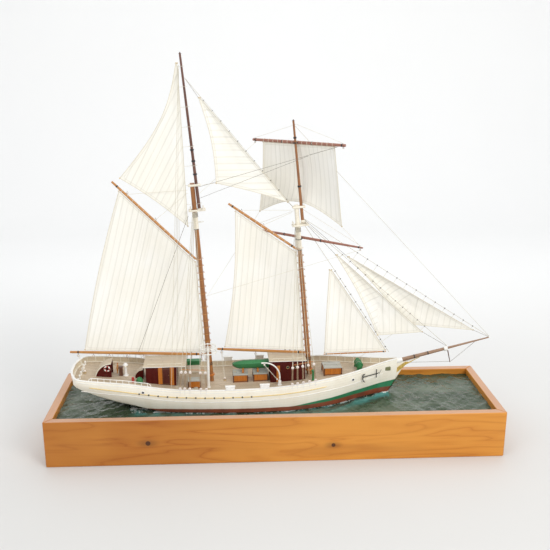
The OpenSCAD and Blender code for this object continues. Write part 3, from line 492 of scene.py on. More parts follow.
RED = painted("red_paint", (0.45, 0.045, 0.035), 0.4)
GREEN = painted("green_paint", (0.042, 0.215, 0.075), 0.45, (0.13, 0.36, 0.19), spec=0.35)
ORANGE = wooden("varnished_teak", (0.42, 0.115, 0.012), (0.66, 0.235, 0.030), "Z", 0.3)
DARKWOOD = wooden("dark_wood", (0.075, 0.028, 0.014), (0.17, 0.065, 0.03), "X", 0.4)
LOWER = wooden("lower_mast_varnish", (0.21, 0.072, 0.018), (0.46, 0.19, 0.05), "Z", 0.3)
TOPM = wooden("topmast_varnish", (0.085, 0.030, 0.019), (0.19, 0.078, 0.050), "Z", 0.36)
FORETOP = wooden("fore_topmast_varnish", (0.20, 0.070, 0.020), (0.42, 0.185, 0.065), "Z", 0.36)
YARD = wooden("yard_varnish", (0.25, 0.088, 0.055), (0.46, 0.21, 0.145), "X", 0.36, turn=math.radians(BRACE))
SPAR = wooden("spar_varnish", (0.40, 0.155, 0.030), (0.62, 0.29, 0.075), "X", 0.3)
BOWSP = wooden("bowsprit_varnish", (0.22, 0.12, 0.065), (0.42, 0.26, 0.16), "X", 0.38)
GILT = metal("gilding", (0.83, 0.58, 0.15), 0.42, 0.35)
BRASS = metal("brass", (0.70, 0.50, 0.20), 0.3)
IRON = metal("black_iron", (0.055, 0.055, 0.058), 0.5, 0.6)
GLASS = Nodes("dark_glass", 0.08, Coat_Weight=1.0).finish((0.015, 0.02, 0.022))
CLOTH = sailcloth()
LINE = ropey("standing_line", (0.46, 0.41, 0.31), (0.72, 0.67, 0.54))
TARRED = ropey("tarred_line", (0.16, 0.14, 0.11), (0.33, 0.30, 0.25))
LANYARD = ropey("brown_lanyard", (0.22, 0.13, 0.07), (0.48, 0.35, 0.22))
THREAD = ropey("cream_line", (0.66, 0.60, 0.48), (0.86, 0.82, 0.70))
PLATE = painted("white_metal", (0.90, 0.885, 0.83), 0.3, coat=0.3)
BLOCK = painted("block_paint", (0.88, 0.80, 0.74), 0.4)


# ---------------------------------------------------------------- mesh building
def side_view(a, b, h): return np.stack([a, h, b], 1)
def end_view(a, b, h): return np.stack([h, a, b], 1)
def unit(v): return v / np.linalg.norm(v)


def square_to(axis):
    """The axis as a unit direction, and two more square to it."""
    axis = unit(np.asarray(axis, float))
    side = unit(np.cross(axis, [0, 0, 1.0] if abs(axis[2]) < 0.9 else [1.0, 0, 0]))
    return axis, side, np.cross(axis, side)


def loft(rings, sides, closed=False):
    """Faces between rings of so many points each, capped at both ends unless the last meets the first."""
    faces = []
    for i in range(rings if closed else rings - 1):
        a, b = i * sides, (i + 1) % rings * sides
        faces += [[a + j, a + (j + 1) % sides, b + (j + 1) % sides, b + j] for j in range(sides)]
    if not closed:
        faces += [list(range(sides))[::-1], [(rings - 1) * sides + j for j in range(sides)]]
    return faces


class Batch:
    """Collects closed solids in the ship's frame, in mm, and makes one piece of them."""

    def __init__(self): self.v, self.f, self.mi, self.n, self.cur = [], [], [], 0, 0

    def add(self, verts, faces):
        verts = np.atleast_2d(np.asarray(verts, float))
        self.v.append(verts)
        self.f += [[i + self.n for i in f] for f in faces]
        self.mi += [self.cur] * len(faces)
        self.n += len(verts)
        return self

    def tube(self, pts, r, sides=8, closed=False):
        pts = np.asarray(pts, float)
        n = len(pts)
        r = np.broadcast_to(np.asarray(r, float), (n,))
        t = np.roll(pts, -1, 0) - np.roll(pts, 1, 0) if closed else np.gradient(pts, axis=0)
        t /= np.maximum(np.linalg.norm(t, axis=1, keepdims=True), 1e-9)
        a = unit(np.cross(t[0], [0, 0, 1.0] if abs(t[0, 2]) < 0.9 else [1.0, 0, 0]))
        rings = []
        ang = np.arange(sides) * 2 * np.pi / sides
        for i in range(n):
            a = unit(a - t[i] * (a @ t[i]))
            b = np.cross(t[i], a)
            rings.append(pts[i] + r[i] * (np.cos(ang)[:, None] * a + np.sin(ang)[:, None] * b))
        return self.add(np.concatenate(rings), loft(n, sides, closed))

    def line(self, a, b, r=0.4, sides=6, sag=0.0):
        a, b = np.asarray(a, float).ravel(), np.asarray(b, float).ravel()
        s = np.linspace(0, 1, 12 if sag else 2)[:, None]
        return self.tube(a + (b - a) * s - np.array([0, 0, 4 * sag]) * s * (1 - s), r, sides)

    def lathe(self, at, axis, profile, sides=20):
        """profile is (distance along the axis, radius) pairs."""
        axis, side, other = square_to(axis)
        at = np.asarray(at, float).ravel()
        pts = np.array([at + axis * d for d, _ in profile])
        ang = np.arange(sides) * 2 * np.pi / sides
        ring = np.cos(ang)[:, None] * side + np.sin(ang)[:, None] * other
        v = np.concatenate([p + max(r, 0.01) * ring for p, (_, r) in zip(pts, profile)])
        return self.add(v, loft(len(pts), sides))

    def turned(self, at, profile, sides):
        """A lathe piece that stands upright."""
        return self.lathe(at, [0, 0, 1], profile, sides)

    def ball(self, at, r, squash=1.0, axis=(0, 0, 1), sides=12):
        t = np.linspace(-math.pi / 2, math.pi / 2, 9)
        return self.lathe(at, axis, [(r * squash * math.sin(a), r * math.cos(a)) for a in t], sides)

    def ring(self, at, axis, big, small, sides=24, sec=8):
        _, side, other = square_to(axis)
        a = np.arange(sides) * 2 * np.pi / sides
        return self.tube(np.asarray(at, float).ravel() + big * (np.cos(a)[:, None] * side
            + np.sin(a)[:, None] * other), small, sec, closed=True)

    def box(self, lo, hi, c=0.3, fr=None):
        """A box with chamfered edges."""
        lo, hi = np.minimum(lo, hi).astype(float), np.maximum(lo, hi).astype(float)
        c = min(c, 0.45 * (hi - lo).min())
        pts = []
        for sx in (0, 1):
            for sy in (0, 1):
                for sz in (0, 1):
                    p = np.where([sx, sy, sz], hi, lo)
                    d = np.where([sx, sy, sz], -c, c)
                    for k in range(3):
                        q = p + d
                        q[k] = p[k]
                        pts.append(q)
        pts = np.array(pts)
        bm = bmesh.new()
        vs = [bm.verts.new(q) for q in pts]
        bmesh.ops.convex_hull(bm, input=vs)
        bmesh.ops.dissolve_limit(bm, angle_limit=0.01, verts=bm.verts, edges=bm.edges)
        bm.verts.index_update()
        vv = np.array([v.co[:] for v in bm.verts])
        ff = [[v.index for v in f.verts] for f in bm.faces]
        bm.free()
        return self.add(vv if fr is None else fr(vv), ff)

    def prism(self, outline, lo, hi, fr):
        """An outline of (a, b) points made solid from lo to hi; fr(a, b, h) gives ship points."""
        o = np.asarray(outline, float)
        n = len(o)
        v = np.concatenate([fr(o[:, 0], o[:, 1], np.full(n, h)) for h in (lo, hi)])
        return self.add(v, [list(range(n))[::-1], [n + i for i in range(n)]]
            + [[i, (i + 1) % n, n + (i + 1) % n, n + i] for i in range(n)])

    def make(self, name, mats, body=SHIP, slot=None, replaces=(), smooth=35, row=to_row):
        verts = np.concatenate(self.v)
        o = mesh_object(name, row(verts), self.f, mats, self.mi, smooth)
        return finish_piece(o, body, replaces)


def mesh_object(name, verts, faces, mats, mi=None, smooth=35):
    me = bpy.data.meshes.new(name)
    me.from_pydata([tuple(v) for v in verts], [], faces)
    for m in mats if isinstance(mats, (list, tuple)) else [mats]:
        me.materials.append(m)
    if mi is not None:
        me.polygons.foreach_set("material_index", np.asarray(mi, np.int32))
    bm = bmesh.new()
    bm.from_mesh(me)
    bmesh.ops.recalc_face_normals(bm, faces=bm.faces)
    bm.to_mesh(me)
    bm.free()
    set_smooth(me, smooth)
    o = bpy.data.objects.new(name, me)
    bpy.context.scene.collection.objects.link(o)
    return o


def set_smooth(me, angle):
    me.polygons.foreach_set("use_smooth", np.ones(len(me.polygons), bool))
    if angle is not None and angle < 180:
        me.set_sharp_from_angle(angle=math.radians(angle))


def finish_piece(o, body, replaces=()):
    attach(o, body)
    if replaces:
        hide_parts(*replaces)
    return o


def set_attr(me, name, values, kind="FLOAT"):
    a = me.attributes.new(name, kind, "POINT")
    field = "vector" if kind == "FLOAT_VECTOR" else "value"
    a.data.foreach_set(field, np.asarray(values, np.float32).ravel())


def set_uv(me, uv):
    layer = me.uv_layers.new(name="UVMap")
    idx = np.zeros(len(me.loops), np.int32)
    me.loops.foreach_get("vertex_index", idx)
    layer.data.foreach_set("uv", np.asarray(uv, np.float32)[idx].ravel())


def round_edges(o, mm, segments=2):
    b = o.modifiers.new("rounded_edges", "BEVEL")
    b.width, b.segments, b.limit_method, b.angle_limit = mm / 1000, segments, "ANGLE", math.radians(35)
    b.harden_normals = False
    return o


# ---------------------------------------------------------------- base box and sea
def board_pair(name, length, width, mat, turns, node):
    k = Batch()
    h = length / 2 - 0.15
    for t in turns:
        k.prism([[-h, 0], [h, 0], [h - BOARD, BOARD], [-h + BOARD, BOARD]], 0, BASE_H,
            lambda a, b, c, t=t: rot(np.stack([a, b - width / 2, c], 1), "z", t))
    return round_edges(k.make(name, mat, replaces=(node,), slot="pine", row=plain), 1.8, 3)


board_pair("base_long_pine_boards", BASE_L, BASE_W, PINE_X, (0, 180), "base_long_boards")
board_pair("base_end_pine_boards", BASE_W, BASE_L, PINE_Y, (90, 270), "base_end_boards")
for node in ("base_bottom_panel", "sea_support_panel", "base_corner_blocks"):
    me = NODES[node].data
    me.materials.clear()
    me.materials.append(PLY)


def hull_half(x):
    """Half breadth where the hull meets the water."""
    return np.where((x > -330) & (x < 268), look(x, LOW_B), 0.0)


def soft_noise(x, y, seed, cell):
    """Smooth value noise on a seeded lattice."""
    g = np.random.default_rng(seed).random((128, 128))
    u, v = x / cell + 40, y / cell + 40
    i, j = np.floor(u).astype(int), np.floor(v).astype(int)
    fu, fv = u - i, v - j
    fu, fv = fu * fu * (3 - 2 * fu), fv * fv * (3 - 2 * fv)
    at = lambda a, b: g[a % 128, b % 128]
    near = at(i, j) * (1 - fu) + at(i + 1, j) * fu
    floor_painted_shade = at(i, j + 1) * (1 - fu) + at(i + 1, j + 1) * fu
    return near * (1 - fv) + floor_painted_shade * fv


def sea_piece():
    hx, hy, low = BASE_L / 2 - BOARD, BASE_W / 2 - BOARD, SEA_TOP - 14
    nx, ny = 440, 116
    X, Y = np.meshgrid(np.linspace(-hx, hx, nx + 1), np.linspace(-hy, hy, ny + 1), indexing="ij")
    h = np.zeros_like(X)
    warp = soft_noise(X, Y, 3, 60) * 2.2
    for amp, lx, ly, ph in ((1.2, 105, 260, 0.3), (0.9, 63, -170, 1.9), (0.6, 37, 70, 4.0),
        (0.5, -45, 36, 2.2),
            (0.28, 21, -30, 0.7), (0.22, 16, 24, 5.1)):
        h += amp * (0.7 - 1.4 * np.abs(np.sin(math.pi * (X / lx + Y / ly) + ph + warp)))
    h += 1.2 * (soft_noise(X, Y, 5, 9) - 0.5) + 0.7 * (soft_noise(X, Y, 6, 4) - 0.5)
    c, s = math.cos(HEADING), math.sin(HEADING)
    xs, ys = X * c + (Y - SHIP_Y) * s, -X * s + (Y - SHIP_Y) * c
    off = np.abs(ys) - hull_half(xs)
    aft = 262 - xs
    n1, n2 = soft_noise(X, Y, 8, 14), soft_noise(X, Y, 9, 6)
    crest = np.clip(aft, 0, None) * 0.13 + 6.0
    curl = np.where(aft > -6, np.exp(-((off - crest) / 5.0) ** 2) * np.exp(-np.clip(aft, 0, None) / 85.0), 0)
    h += 5.0 * curl * (0.6 + 0.8 * n1)
    quarter = np.exp(-((off - 4) / 6.0) ** 2) * np.exp(-((xs + 300) / 70.0) ** 2)
    h += 2.0 * quarter
    h -= 2.2 * np.exp(-np.clip(off, 0, None) / 5.0) * (aft > -3)
    h = np.where(off < -3, -2.5, h)
    edge = np.minimum(hx - np.abs(X), hy - np.abs(Y))
    h += np.exp(-edge / 3.0) * 0.8
    along = ((xs > -335) & (xs < 270)).astype(float)
    foam = along * np.exp(-np.clip(off, 0, None) / 2.5) * (0.30 + 0.35 * n1) + curl * (0.25 + 0.9 * n2)
    streak = soft_noise(X * 0.35, Y * 1.6, 12, 13)
    foam += 0.35 * np.clip(streak - 0.62, 0, 1) * 2.2 * (0.4 + n2)
    wake = np.exp(-(ys / 46.0) ** 2) * np.clip((-300 - xs) / 60.0, 0, 1)
    foam += 0.45 * wake * n2 * (soft_noise(X * 0.5, Y * 1.3, 13, 10) > 0.5)
    teal = np.exp(-np.clip(off, 0, None) / 16.0) * np.clip(n1 * 1.7 - 0.5, 0, 1) * along
    teal += np.exp(-((off - crest - 8) / 10.0) ** 2) * np.exp(-np.clip(aft - 20, 0, None) / 90.0) * (aft > -4)
    top = np.stack([X, Y, SEA_TOP + h], -1).reshape(-1, 3)
    idx = np.arange((nx + 1) * (ny + 1)).reshape(nx + 1, ny + 1)
    quads = np.stack([idx[:-1, :-1], idx[1:, :-1], idx[1:, 1:], idx[:-1, 1:]], -1).reshape(-1, 4)
    rim = np.concatenate([idx[:, 0], idx[-1, 1:], idx[-2::-1, -1], idx[0, -2:0:-1]])
    n, m = len(top), len(rim)
    bottom = top[rim].copy()
    bottom[:, 2] = low
    faces = quads.tolist() + [[int(rim[i]), int(rim[(i + 1) % m]), n + (i + 1) % m, n + i] for i in range(m)]
    faces.append([n + i for i in range(m)])
    o = mesh_object("painted_sea", np.concatenate([top, bottom]) / 1000, faces, SEA, None, 60)
    pad = np.zeros(m)
    set_attr(o.data, "foam", np.concatenate([foam.ravel().clip(0, 1.2), pad]))
    set_attr(o.data, "teal", np.concatenate([teal.ravel().clip(0, 1), pad]))
    return finish_piece(o, SHIP, ("sea",))


sea_piece()


# ---------------------------------------------------------------- hull
def smooth_rail_y(x):
    return sum(w * look(x + d, RAIL_B) for w, d in ((1, -12), (2, -6), (3, 0), (2, 6), (1, 12))) / 9


def hull_piece():
    xs = np.unique(np.concatenate([np.linspace(-458, -436, 12), np.arange(-432, 262, 6),
        np.linspace(258, 286, 12),
        [HULL_AFT + WALL, HULL_AFT + WALL + 0.2, WELL_FWD - 0.2, WELL_FWD]]))
    rings, uv = [], []
    bottom, side = 6, 16
    for x in xs:
        b = fair(x, LOW_B) if -440 < x < 250 else look(x, LOW_B)
        z0, z1, zt = keel_z(x), low_z(x), rail_z(x)
        bt = max(smooth_rail_y(x) if -436 < x < 270 else rail_y(x), 1.0)
        pts = [(b * i / bottom, z0 + (z1 - z0) * (i / bottom) ** 2) for i in range(bottom)]
        for i in range(side + 1):
            t = i / side
            pts.append((b + (bt - b) * math.sin(math.radians(90 * min(1, 1.15 * t))), z1 + (zt - z1) * t))
        well = HULL_AFT + WALL + 0.1 < x < WELL_FWD - 0.1
        yi = max(0.5, inner_y(x)) if well else bt - 0.6
        zd = deck_z(x) - 1.0 if well else zt
        n = len(pts)
        pts += [(yi, zt), (yi, zd), (0.0, zd)]
        full = [(x, p, q) for p, q in pts] + [(x, -p, q) for p, q in pts[-2:0:-1]]
        gv = [min(1.0, i / (n - 1)) for i in range(len(pts))]
        rings.append(full)
        uv += [((x + 460) / 750, g) for g in gv + gv[-2:0:-1]]
    m = len(rings[0])
    v = np.array(rings, float).reshape(-1, 3)
    half = len(pts)
    inside = [int(n - 1 <= j < 2 * half - n - 1) for j in range(m)]
    mi = inside * (len(xs) - 1) + [0, 0]
    o = mesh_object("hull_and_bulwarks", to_row(v), loft(len(xs), m), [HULL, TAN], mi, 40)
    set_attr(o.data, "ship", v / 1000, "FLOAT_VECTOR")
    set_uv(o.data, uv)
    return finish_piece(o, SHIP, ("hull",))


hull_piece()


def rail_path(inset, x_to=284.0, z_off=0.0, step=6.0):
    """The rail in plan from the port bow round the stern to the starboard bow, moved inboard by inset."""
    xs = np.concatenate([np.arange(x_to, -440, -step), [-440, -446, -450, -454, -457, -458]])
    port = np.stack([xs, rail_y(xs)], 1)
    loop = np.concatenate([port, port[::-1] * [1, -1]])
    t = np.gradient(loop, axis=0)
    t /= np.linalg.norm(t, axis=1, keepdims=True)
    loop = loop + np.stack([-t[:, 1], t[:, 0]], 1) * inset
    z = rail_z(np.clip(loop[:, 0], -458, 286)) + z_off
    return np.column_stack([loop, z])


def strap(k, pts, w, h):
    """A rounded flat strip, w by h, that follows pts and stays level across."""
    pts = np.asarray(pts, float)
    t = np.gradient(pts, axis=0)
    side = np.stack([-t[:, 1], t[:, 0], np.zeros(len(t))], 1)
    side /= np.maximum(np.linalg.norm(side, axis=1, keepdims=True), 1e-9)
    r = min(w, h) * 0.28
    a, b = w / 2, h / 2
    sec = [(a, b - r), (a - r, b), (r - a, b), (-a, b - r), (-a, r - b), (r - a, -b), (a - r, -b), (a, r - b)]
    v = np.concatenate([[p + s * u + [0, 0, q] for u, q in sec] for p, s in zip(pts, side)])
    return k.add(v, loft(len(pts), len(sec)))


k = Batch()
strap(k, rail_path(1.65, 285, CAP_T / 2), 5.0, CAP_T)
k.make("white_cap_rail", WHITE, slot="white_paint", replaces=("cap_rail",))

k = Batch()
strap(k, rail_path(5.0, 270, -BULWARK + 0.8), 4.0, 1.6)
for s in (-1, 1):
    for x in np.arange(-436, 262, 19.0):
        y = inner_y(x)
        if y > 8:
            k.box([x - 1, s * (y + 0.2), deck_z(x)], [x + 1, s * (y - 1.2), rail_z(x) - 0.3], 0.2)
k.make("waterway_and_timberheads", CREAM, slot="white_paint")

xs = np.concatenate([[HULL_AFT + WALL + 0.2], np.arange(-450, 276, 6), [WELL_FWD - 0.2]])
k = Batch()
sections = []
for x in xs:
    w, z = max(0.4, inner_y(x) - 0.1), deck_z(x)
    sections += [(x, -w, z), (x, 0, z), (x, w, z), (x, w, z - 3), (x, -w, z - 3)]
k.add(sections, loft(len(xs), 5))
k.make("planked_deck", DECK, slot="deck_planks", replaces=("deck",))


def along_skin(x0, x1, down, proud, n=90):
    xs = np.linspace(x0, x1, n)
    return [np.array([[x, s * (skin_y(x, rail_z(x) - down(x)) + proud), rail_z(x) - down(x)] for x in xs])
        for s in (-1, 1)]


k = Batch()
drop = lambda x: 13.8 + 4.7 * min(1.0, (x + 412) / 92) if x < -320 else 18.5 - 2.0 * min(1.0, (x + 320) / 120)
for pts in along_skin(-412, 111, drop, 0.2):
    k.tube(pts, np.where(np.arange(len(pts)) % (len(pts) - 1) == 0, 0.3, 1.1), 6)
k.make("gold_stripe", painted("yellow_line", (0.82, 0.62, 0.25), 0.4), slot="gilt")

k = Batch()
for pts in along_skin(-430, 250, lambda x: 27.0, 0.0, 110) + along_skin(-440, 262, lambda x: 4.5, 0.0, 110):
    k.tube(pts, 0.75, 6)
k.make("wales", WHITE, slot="hull_paint")

HAWSE_X = 250
k = Batch()
for s in (-1, 1):
    for x in np.arange(-304, -50, 20.4):
        z = rail_z(x) - drop(x)
        y = skin_y(x, z)
        k.lathe([x, s * (y + 0.2), z], [0, s, 0], [(0, 1.9), (1.1, 1.7), (1.3, 0.9)], 12)
    for x, z in ((173.6, 54), (-295.6, 54)):
        y = skin_y(x, z)
        n = np.array([-(skin_y(x + 3, z) - skin_y(x - 3, z)) / 6, 1.0, 0]) * [1, s, 1]
        # painted shade: a black disc set into the white rim stands for the dark inside of each hawse hole
        k.cur = 0
        k.lathe([x, s * (y - 0.5), z], n, [(0, 2.7), (1.0, 2.7), (1.1, 2.2)], 20)
        k.cur = 1
        k.ring([x, s * (y + 0.5), z], n, 3.3, 0.8)
        k.cur = 0
    y = skin_y(HAWSE_X + 9, 62)
    k.cur = 2
    k.box([HAWSE_X, s * (y - 4), 57.5], [HAWSE_X + 19, s * (y + 1.2), 66.5], 0.8)
    k.cur = 0
k.make("scuttles_and_hawse_holes", [IRON, WHITE, painted("olive_paint", (0.20, 0.21, 0.10), 0.45)],
    slot="black_iron")

k = Batch()
stem = [[262, 0], [268, 0], [281, 22], [292, 44], [303, 63], [311, 75.8], [286, 69.9], [286, 36.8], [275, 14]]
k.prism(stem, -2.5, 2.5, side_view)
o = k.make("clipper_stem", HULL, slot="hull_paint", replaces=("stem",))
st = np.array([v.co[:] for v in o.data.vertices]) * 1000
cc, ss = math.cos(HEADING), math.sin(HEADING)
ahead = st[:, 0] * cc + (st[:, 1] - SHIP_Y) * ss
set_attr(o.data, "ship", np.stack([ahead, 0 * ahead, st[:, 2] - SEA_TOP], 1) / 1000, "FLOAT_VECTOR")
set_uv(o.data, np.full((len(st), 2), 0.5))
round_edges(o, 1.2)

k = Batch()
knee = [[286, 69.9], [311, 75.8], [341, 84.4], [341, 83.2], [327, 76.5], [316, 69.5], [303, 63]]
k.prism(knee, -2.0, 2.0, side_view)
round_edges(k.make("head_knee", WHITE, slot="hull_paint"), 0.6)

k = Batch()
for s in (-1, 1):
    k.tube([[300, s * 2.6, 63.5], [313, s * 2.6, 70.5], [325, s * 2.4, 77], [339, s * 2.2, 83.6]],
        [1.5, 1.3, 1.0, 0.5], 8)
    k.prism([[276, 44], [287, 49], [301, 60], [313, 73.6], [306, 74], [292, 64], [279, 52]], s * 3.0, s * 4.3,
        side_view)
    for i, (x, z, r) in enumerate(((280, 48.5, 2.2), (287, 54, 1.7), (294, 60.5, 1.5), (301, 66.5, 1.3),
        (308, 72, 1.2))):
        a = np.linspace(0, 4.2 * math.pi, 26)
        q = r * (1 - a / (5.2 * math.pi))
        k.tube(np.stack([x + q * np.cos(a + i), np.full(26, s * 4.4), z + q * np.sin(a + i)], 1), 0.42, 6)
k.make("carved_trailboards", GILT, slot="gilt", replaces=("trailboards",))


# ---------------------------------------------------------------- deckhouses
def panels(k, x0, x1, y, s, z0, z1, count):
    """Raised rails and stiles on a wall that faces s * Y."""
    for z in (z0, z1 - 2.2):
        k.box([x0, s * y, z], [x1, s * (y + 0.7), z + 2.2], 0.25)
    for x in np.linspace(x0, x1 - 2, count + 1):
        k.box([x, s * y, z0], [x + 2, s * (y + 0.7), z1], 0.25)


def end_panels(k, x, s, half, z0, z1, count):
    for z in (z0, z1 - 2.2):
        k.box([x, -half, z], [x + s * 0.7, half, z + 2.2], 0.25)
    for y in np.linspace(-half, half - 2, count + 1):
        k.box([x, y, z0], [x + s * 0.7, y + 2, z1], 0.25)


def house(name, aft, fwd, half, top, node):
    k = Batch()
    low = min(deck_z(aft), deck_z(fwd), deck_z((aft + fwd) / 2))
    k.box([aft, -half, low - 1], [fwd, half, top], 0.5)
    z0 = max(deck_z(aft), deck_z(fwd)) + 0.5
    n = int((fwd - aft) / 12)
    for s in (-1, 1):
        panels(k, aft, fwd, half, s, z0, top, n)
    for x, s in ((aft, -1), (fwd, 1)):
        end_panels(k, x, s, half, deck_z(x) + 0.5, top, 5)
    return k.make(name, MAROON, slot="maroon_paint", replaces=(node,))


AFT_H, FORE_H = (-292, -224, 31, 92), (-12, 66, 28, 95)
house("aft_house_walls", *AFT_H, "aft_deckhouse")
house("forward_house_walls", *FORE_H, "forward_deckhouse")

k = Batch()
for s in (-1, 1):
    for x in (-265, -239):
        k.cur = 0
        k.box([x, s * 31, deck_z(x) + 0.5], [x + 9, s * 32.6, 91.9], 0.4)
        k.box([x + 1.6, s * 32.4, deck_z(x) + 5], [x + 7.4, s * 33.1, 87], 0.3)
    k.cur = 1
    k.box([-256, s * 31, deck_z(-250) + 0.5], [-239, s * 31.8, 91.9], 0.3)
    k.cur = 2
    for z in np.arange(deck_z(-248) + 5, 86, 2.6):
        k.box([-254.5, s * 31.6, z], [-240.5, s * 32.5, z + 1.3], 0.25,
            fr=lambda p, s=s, z=z: p + np.stack([0 * p[:, 0], 0 * p[:, 0], -(p[:, 1] * s - 32) * 0.9], 1))
    k.cur = 0
    k.box([1, s * 28, deck_z(5) + 0.5], [9, s * 29.4, 84.9], 0.4)
    k.box([2.6, s * 29.2, deck_z(5) + 4], [7.4, s * 29.8, 72], 0.3)
    k.cur = 3
    k.ball([7.6, s * 30, 66], 0.8)
    k.ball([-241.5, s * 32.8, 72], 0.8)
    for x in (27, 46):
        k.cur = 3
        k.ring([x, s * 28.8, 80], [0, 1, 0], 3.3, 0.6)
        k.cur = 4
        k.lathe([x, s * 28.2, 80], [0, s, 0], [(0, 3.1), (0.6, 3.0), (0.9, 1.6)], 20)
k.make("doors_posts_and_scuttles", [ORANGE, DARKWOOD, MAROON, BRASS, GLASS], slot="varnish",
    replaces=("house_joinery",))


def roof(k, x0, x1, half, z, rise=1.6):
    k.cur = 1
    k.box([x0, -half, z], [x1, half, z + 1.3], 0.35)
    k.cur = 0
    ys = np.linspace(-half + 0.5, half - 0.5, 15)
    outline = [[y, z + 2.0 + rise * (1 - (y / half) ** 2)] for y in ys]
    outline = [[ys[0], z + 1.2]] + outline + [[ys[-1], z + 1.2]]
    k.prism(outline, x0 + 0.5, x1 - 0.5, end_view)


k = Batch()
roof(k, -298, -203, 35, 92)
roof(k, -16, 70, 31, 95)
k.cur = 2
for x0, x1, half, z in ((-290, -212, 27, 95.2), (-8, 62, 23, 98.2)):
    for s in (-1, 1):
        pts = [[x, s * half, z + up] for x, up in ((x0, -0.6), (x0 + 1.5, 1.6), (x1 - 1.5, 1.6), (x1, -0.6))]
        k.tube(pts, 0.5, 6)
        for x in np.linspace(x0 + 14, x1 - 14, 4):
            k.turned([x, s * half, z - 1.2], [(0, 0.8), (0.8, 0.5), (2.8, 0.5)], 8)
k.make("canvas_roofs", [ROOF, WHITE, CREAM], slot="canvas_roof", replaces=("house_roofs",))

# ---------------------------------------------------------------- steering gear
SHEL_X, SHEL_R, SHEL_HALF = -370.0, 36.0, 15.0
base = deck_z(SHEL_X) - 4
arc = [(SHEL_X + SHEL_R * math.cos(a), base + SHEL_R * math.sin(a)) for a in np.linspace(math.pi / 2,
    math.pi, 22)]
k = Batch()
for s in (-1, 1):
    k.cur = 0
    k.prism(arc + [(SHEL_X, base)], s * (SHEL_HALF - 2), s * SHEL_HALF, side_view)
    rim = np.array([[x, s * (SHEL_HALF + 0.1), z] for x, z in arc])
    k.cur = 1
    k.tube(rim, 0.9, 8)
    k.cur = 2
    for a in (0.58, 0.72, 0.86):
        turn = math.pi * a
        p = np.array([SHEL_X + 5 + 20 * math.cos(turn), s * (SHEL_HALF + 0.2), base + 24 * math.sin(turn)])
        k.box(p - [4, 0.2, 0.4], p + [4, 0.4, 0.4], 0.15)
outer = [(SHEL_X + (SHEL_R + 1.4) * math.cos(a), base + (SHEL_R + 1.4) * math.sin(a)) for a in
    np.linspace(math.pi / 2, math.pi, 22)]
k.cur = 3
k.prism(outer + arc[::-1], -SHEL_HALF - 0.8, SHEL_HALF + 0.8, side_view)
k.cur = 1
for s in (-1, 1):
    k.tube(np.array([[x, s * (SHEL_HALF + 0.8), z] for x, z in [((a[0] + b[0]) / 2, (a[1] + b[1]) / 2)
        for a, b in zip(outer, arc)]]), 0.75, 8)
k.cur = 4
k.box([SHEL_X - 26, -13, base + 8], [SHEL_X - 10, 13, base + 13], 0.6)
k.make("wheel_shelter_panels", [MAROON, CREAM, DARKWOOD, ROOF, ORANGE], slot="maroon_paint",
    replaces=("wheel_shelter",))

k = Batch()
c = np.array([SHEL_X - 9, -SHEL_HALF - 2.5, deck_z(SHEL_X) + 22])
for i in range(8):
    a = np.linspace(i, i + 1, 7) * math.pi / 4 + 0.2
    k.cur = i % 2
    grow = 1.45 if i % 2 else 1.35
    k.tube(c + 5.4 * np.stack([np.cos(a), 0 * a, np.sin(a)], 1), grow, 10)
k.cur = 2
k.ring(c, [0, 1, 0], 7.1, 0.28)
k.make("lifebuoy_ring", [WHITE, RED, LINE], slot="white_paint", replaces=("lifebuoy",))

WHEEL_C = np.array([-358, 0, deck_z(-358) + 17])
k = Batch()
k.ring(WHEEL_C, [1, 0, 0], 8.6, 0.95, 40, 8)
k.lathe(WHEEL_C - [2, 0, 0], [1, 0, 0], [(0, 1.9), (0.5, 3), (1.4, 2.4), (2.6, 2.4), (3.5, 3), (4, 1.9)], 20)
for a in np.arange(0, 2 * math.pi, math.pi / 4):
    d = np.array([0, math.cos(a), math.sin(a)])
    k.lathe(WHEEL_C + d * 2, d, [(0, 0.7), (2, 0.45), (5, 0.7), (7.4, 0.5), (8.4, 0.5), (9.4, 0.85),
        (10.6, 0.6),
        (11, 0.3)], 10)
k.cur = 1
k.ring(WHEEL_C + [0.8, 0, 0], [1, 0, 0], 8.6, 0.35, 40, 6)
k.make("turned_steering_wheel", [ORANGE, BRASS], "wheel", "varnish", ("steering_wheel",))

k = Batch()
hub = WHEEL_C[2]
k.box([-354.5, -5, deck_z(-350)], [-346.5, 5, hub + 2], 0.6)
k.prism([[-5.4, hub + 1.5], [5.4, hub + 1.5], [3.6, hub + 4], [-3.6, hub + 4]], -355, -346,
    end_view)
k.cur = 1
k.lathe([-361, 0, hub], [1, 0, 0], [(0, 1.3), (6.5, 1.3)], 14)
k.lathe([-361.8, 0, hub], [1, 0, 0], [(0, 1.4), (0.3, 2), (0.8, 2)], 14)
k.make("wheel_box_and_shaft", [DARKWOOD, BRASS], slot="varnish", replaces=("wheel_pedestal",))

k = Batch()
BINNACLE_X = -340
z0, top = deck_z(BINNACLE_X), deck_z(BINNACLE_X) + 24
k.turned([BINNACLE_X, 0, z0 - 0.5], [(0, 6), (2, 6), (2.4, 4.6), (4, 3.6), (10, 3.2), (20, 3.4), (23.4, 4.4),
    (24, 5.9), (26.8, 6.0), (27.4, 4.8), (29.5, 4.0), (31, 2.0), (31.6, 0.5)], 28)
k.cur = 1
k.ring([BINNACLE_X, 0, top], [0, 0, 1], 5.9, 0.4)
k.cur = 0
k.box([BINNACLE_X - 1.2, -9, top - 1.4], [BINNACLE_X + 1.2, 9, top + 0.8], 0.3)
k.make("binnacle_column", [WHITE, BRASS], slot="white_paint", replaces=("binnacle",))

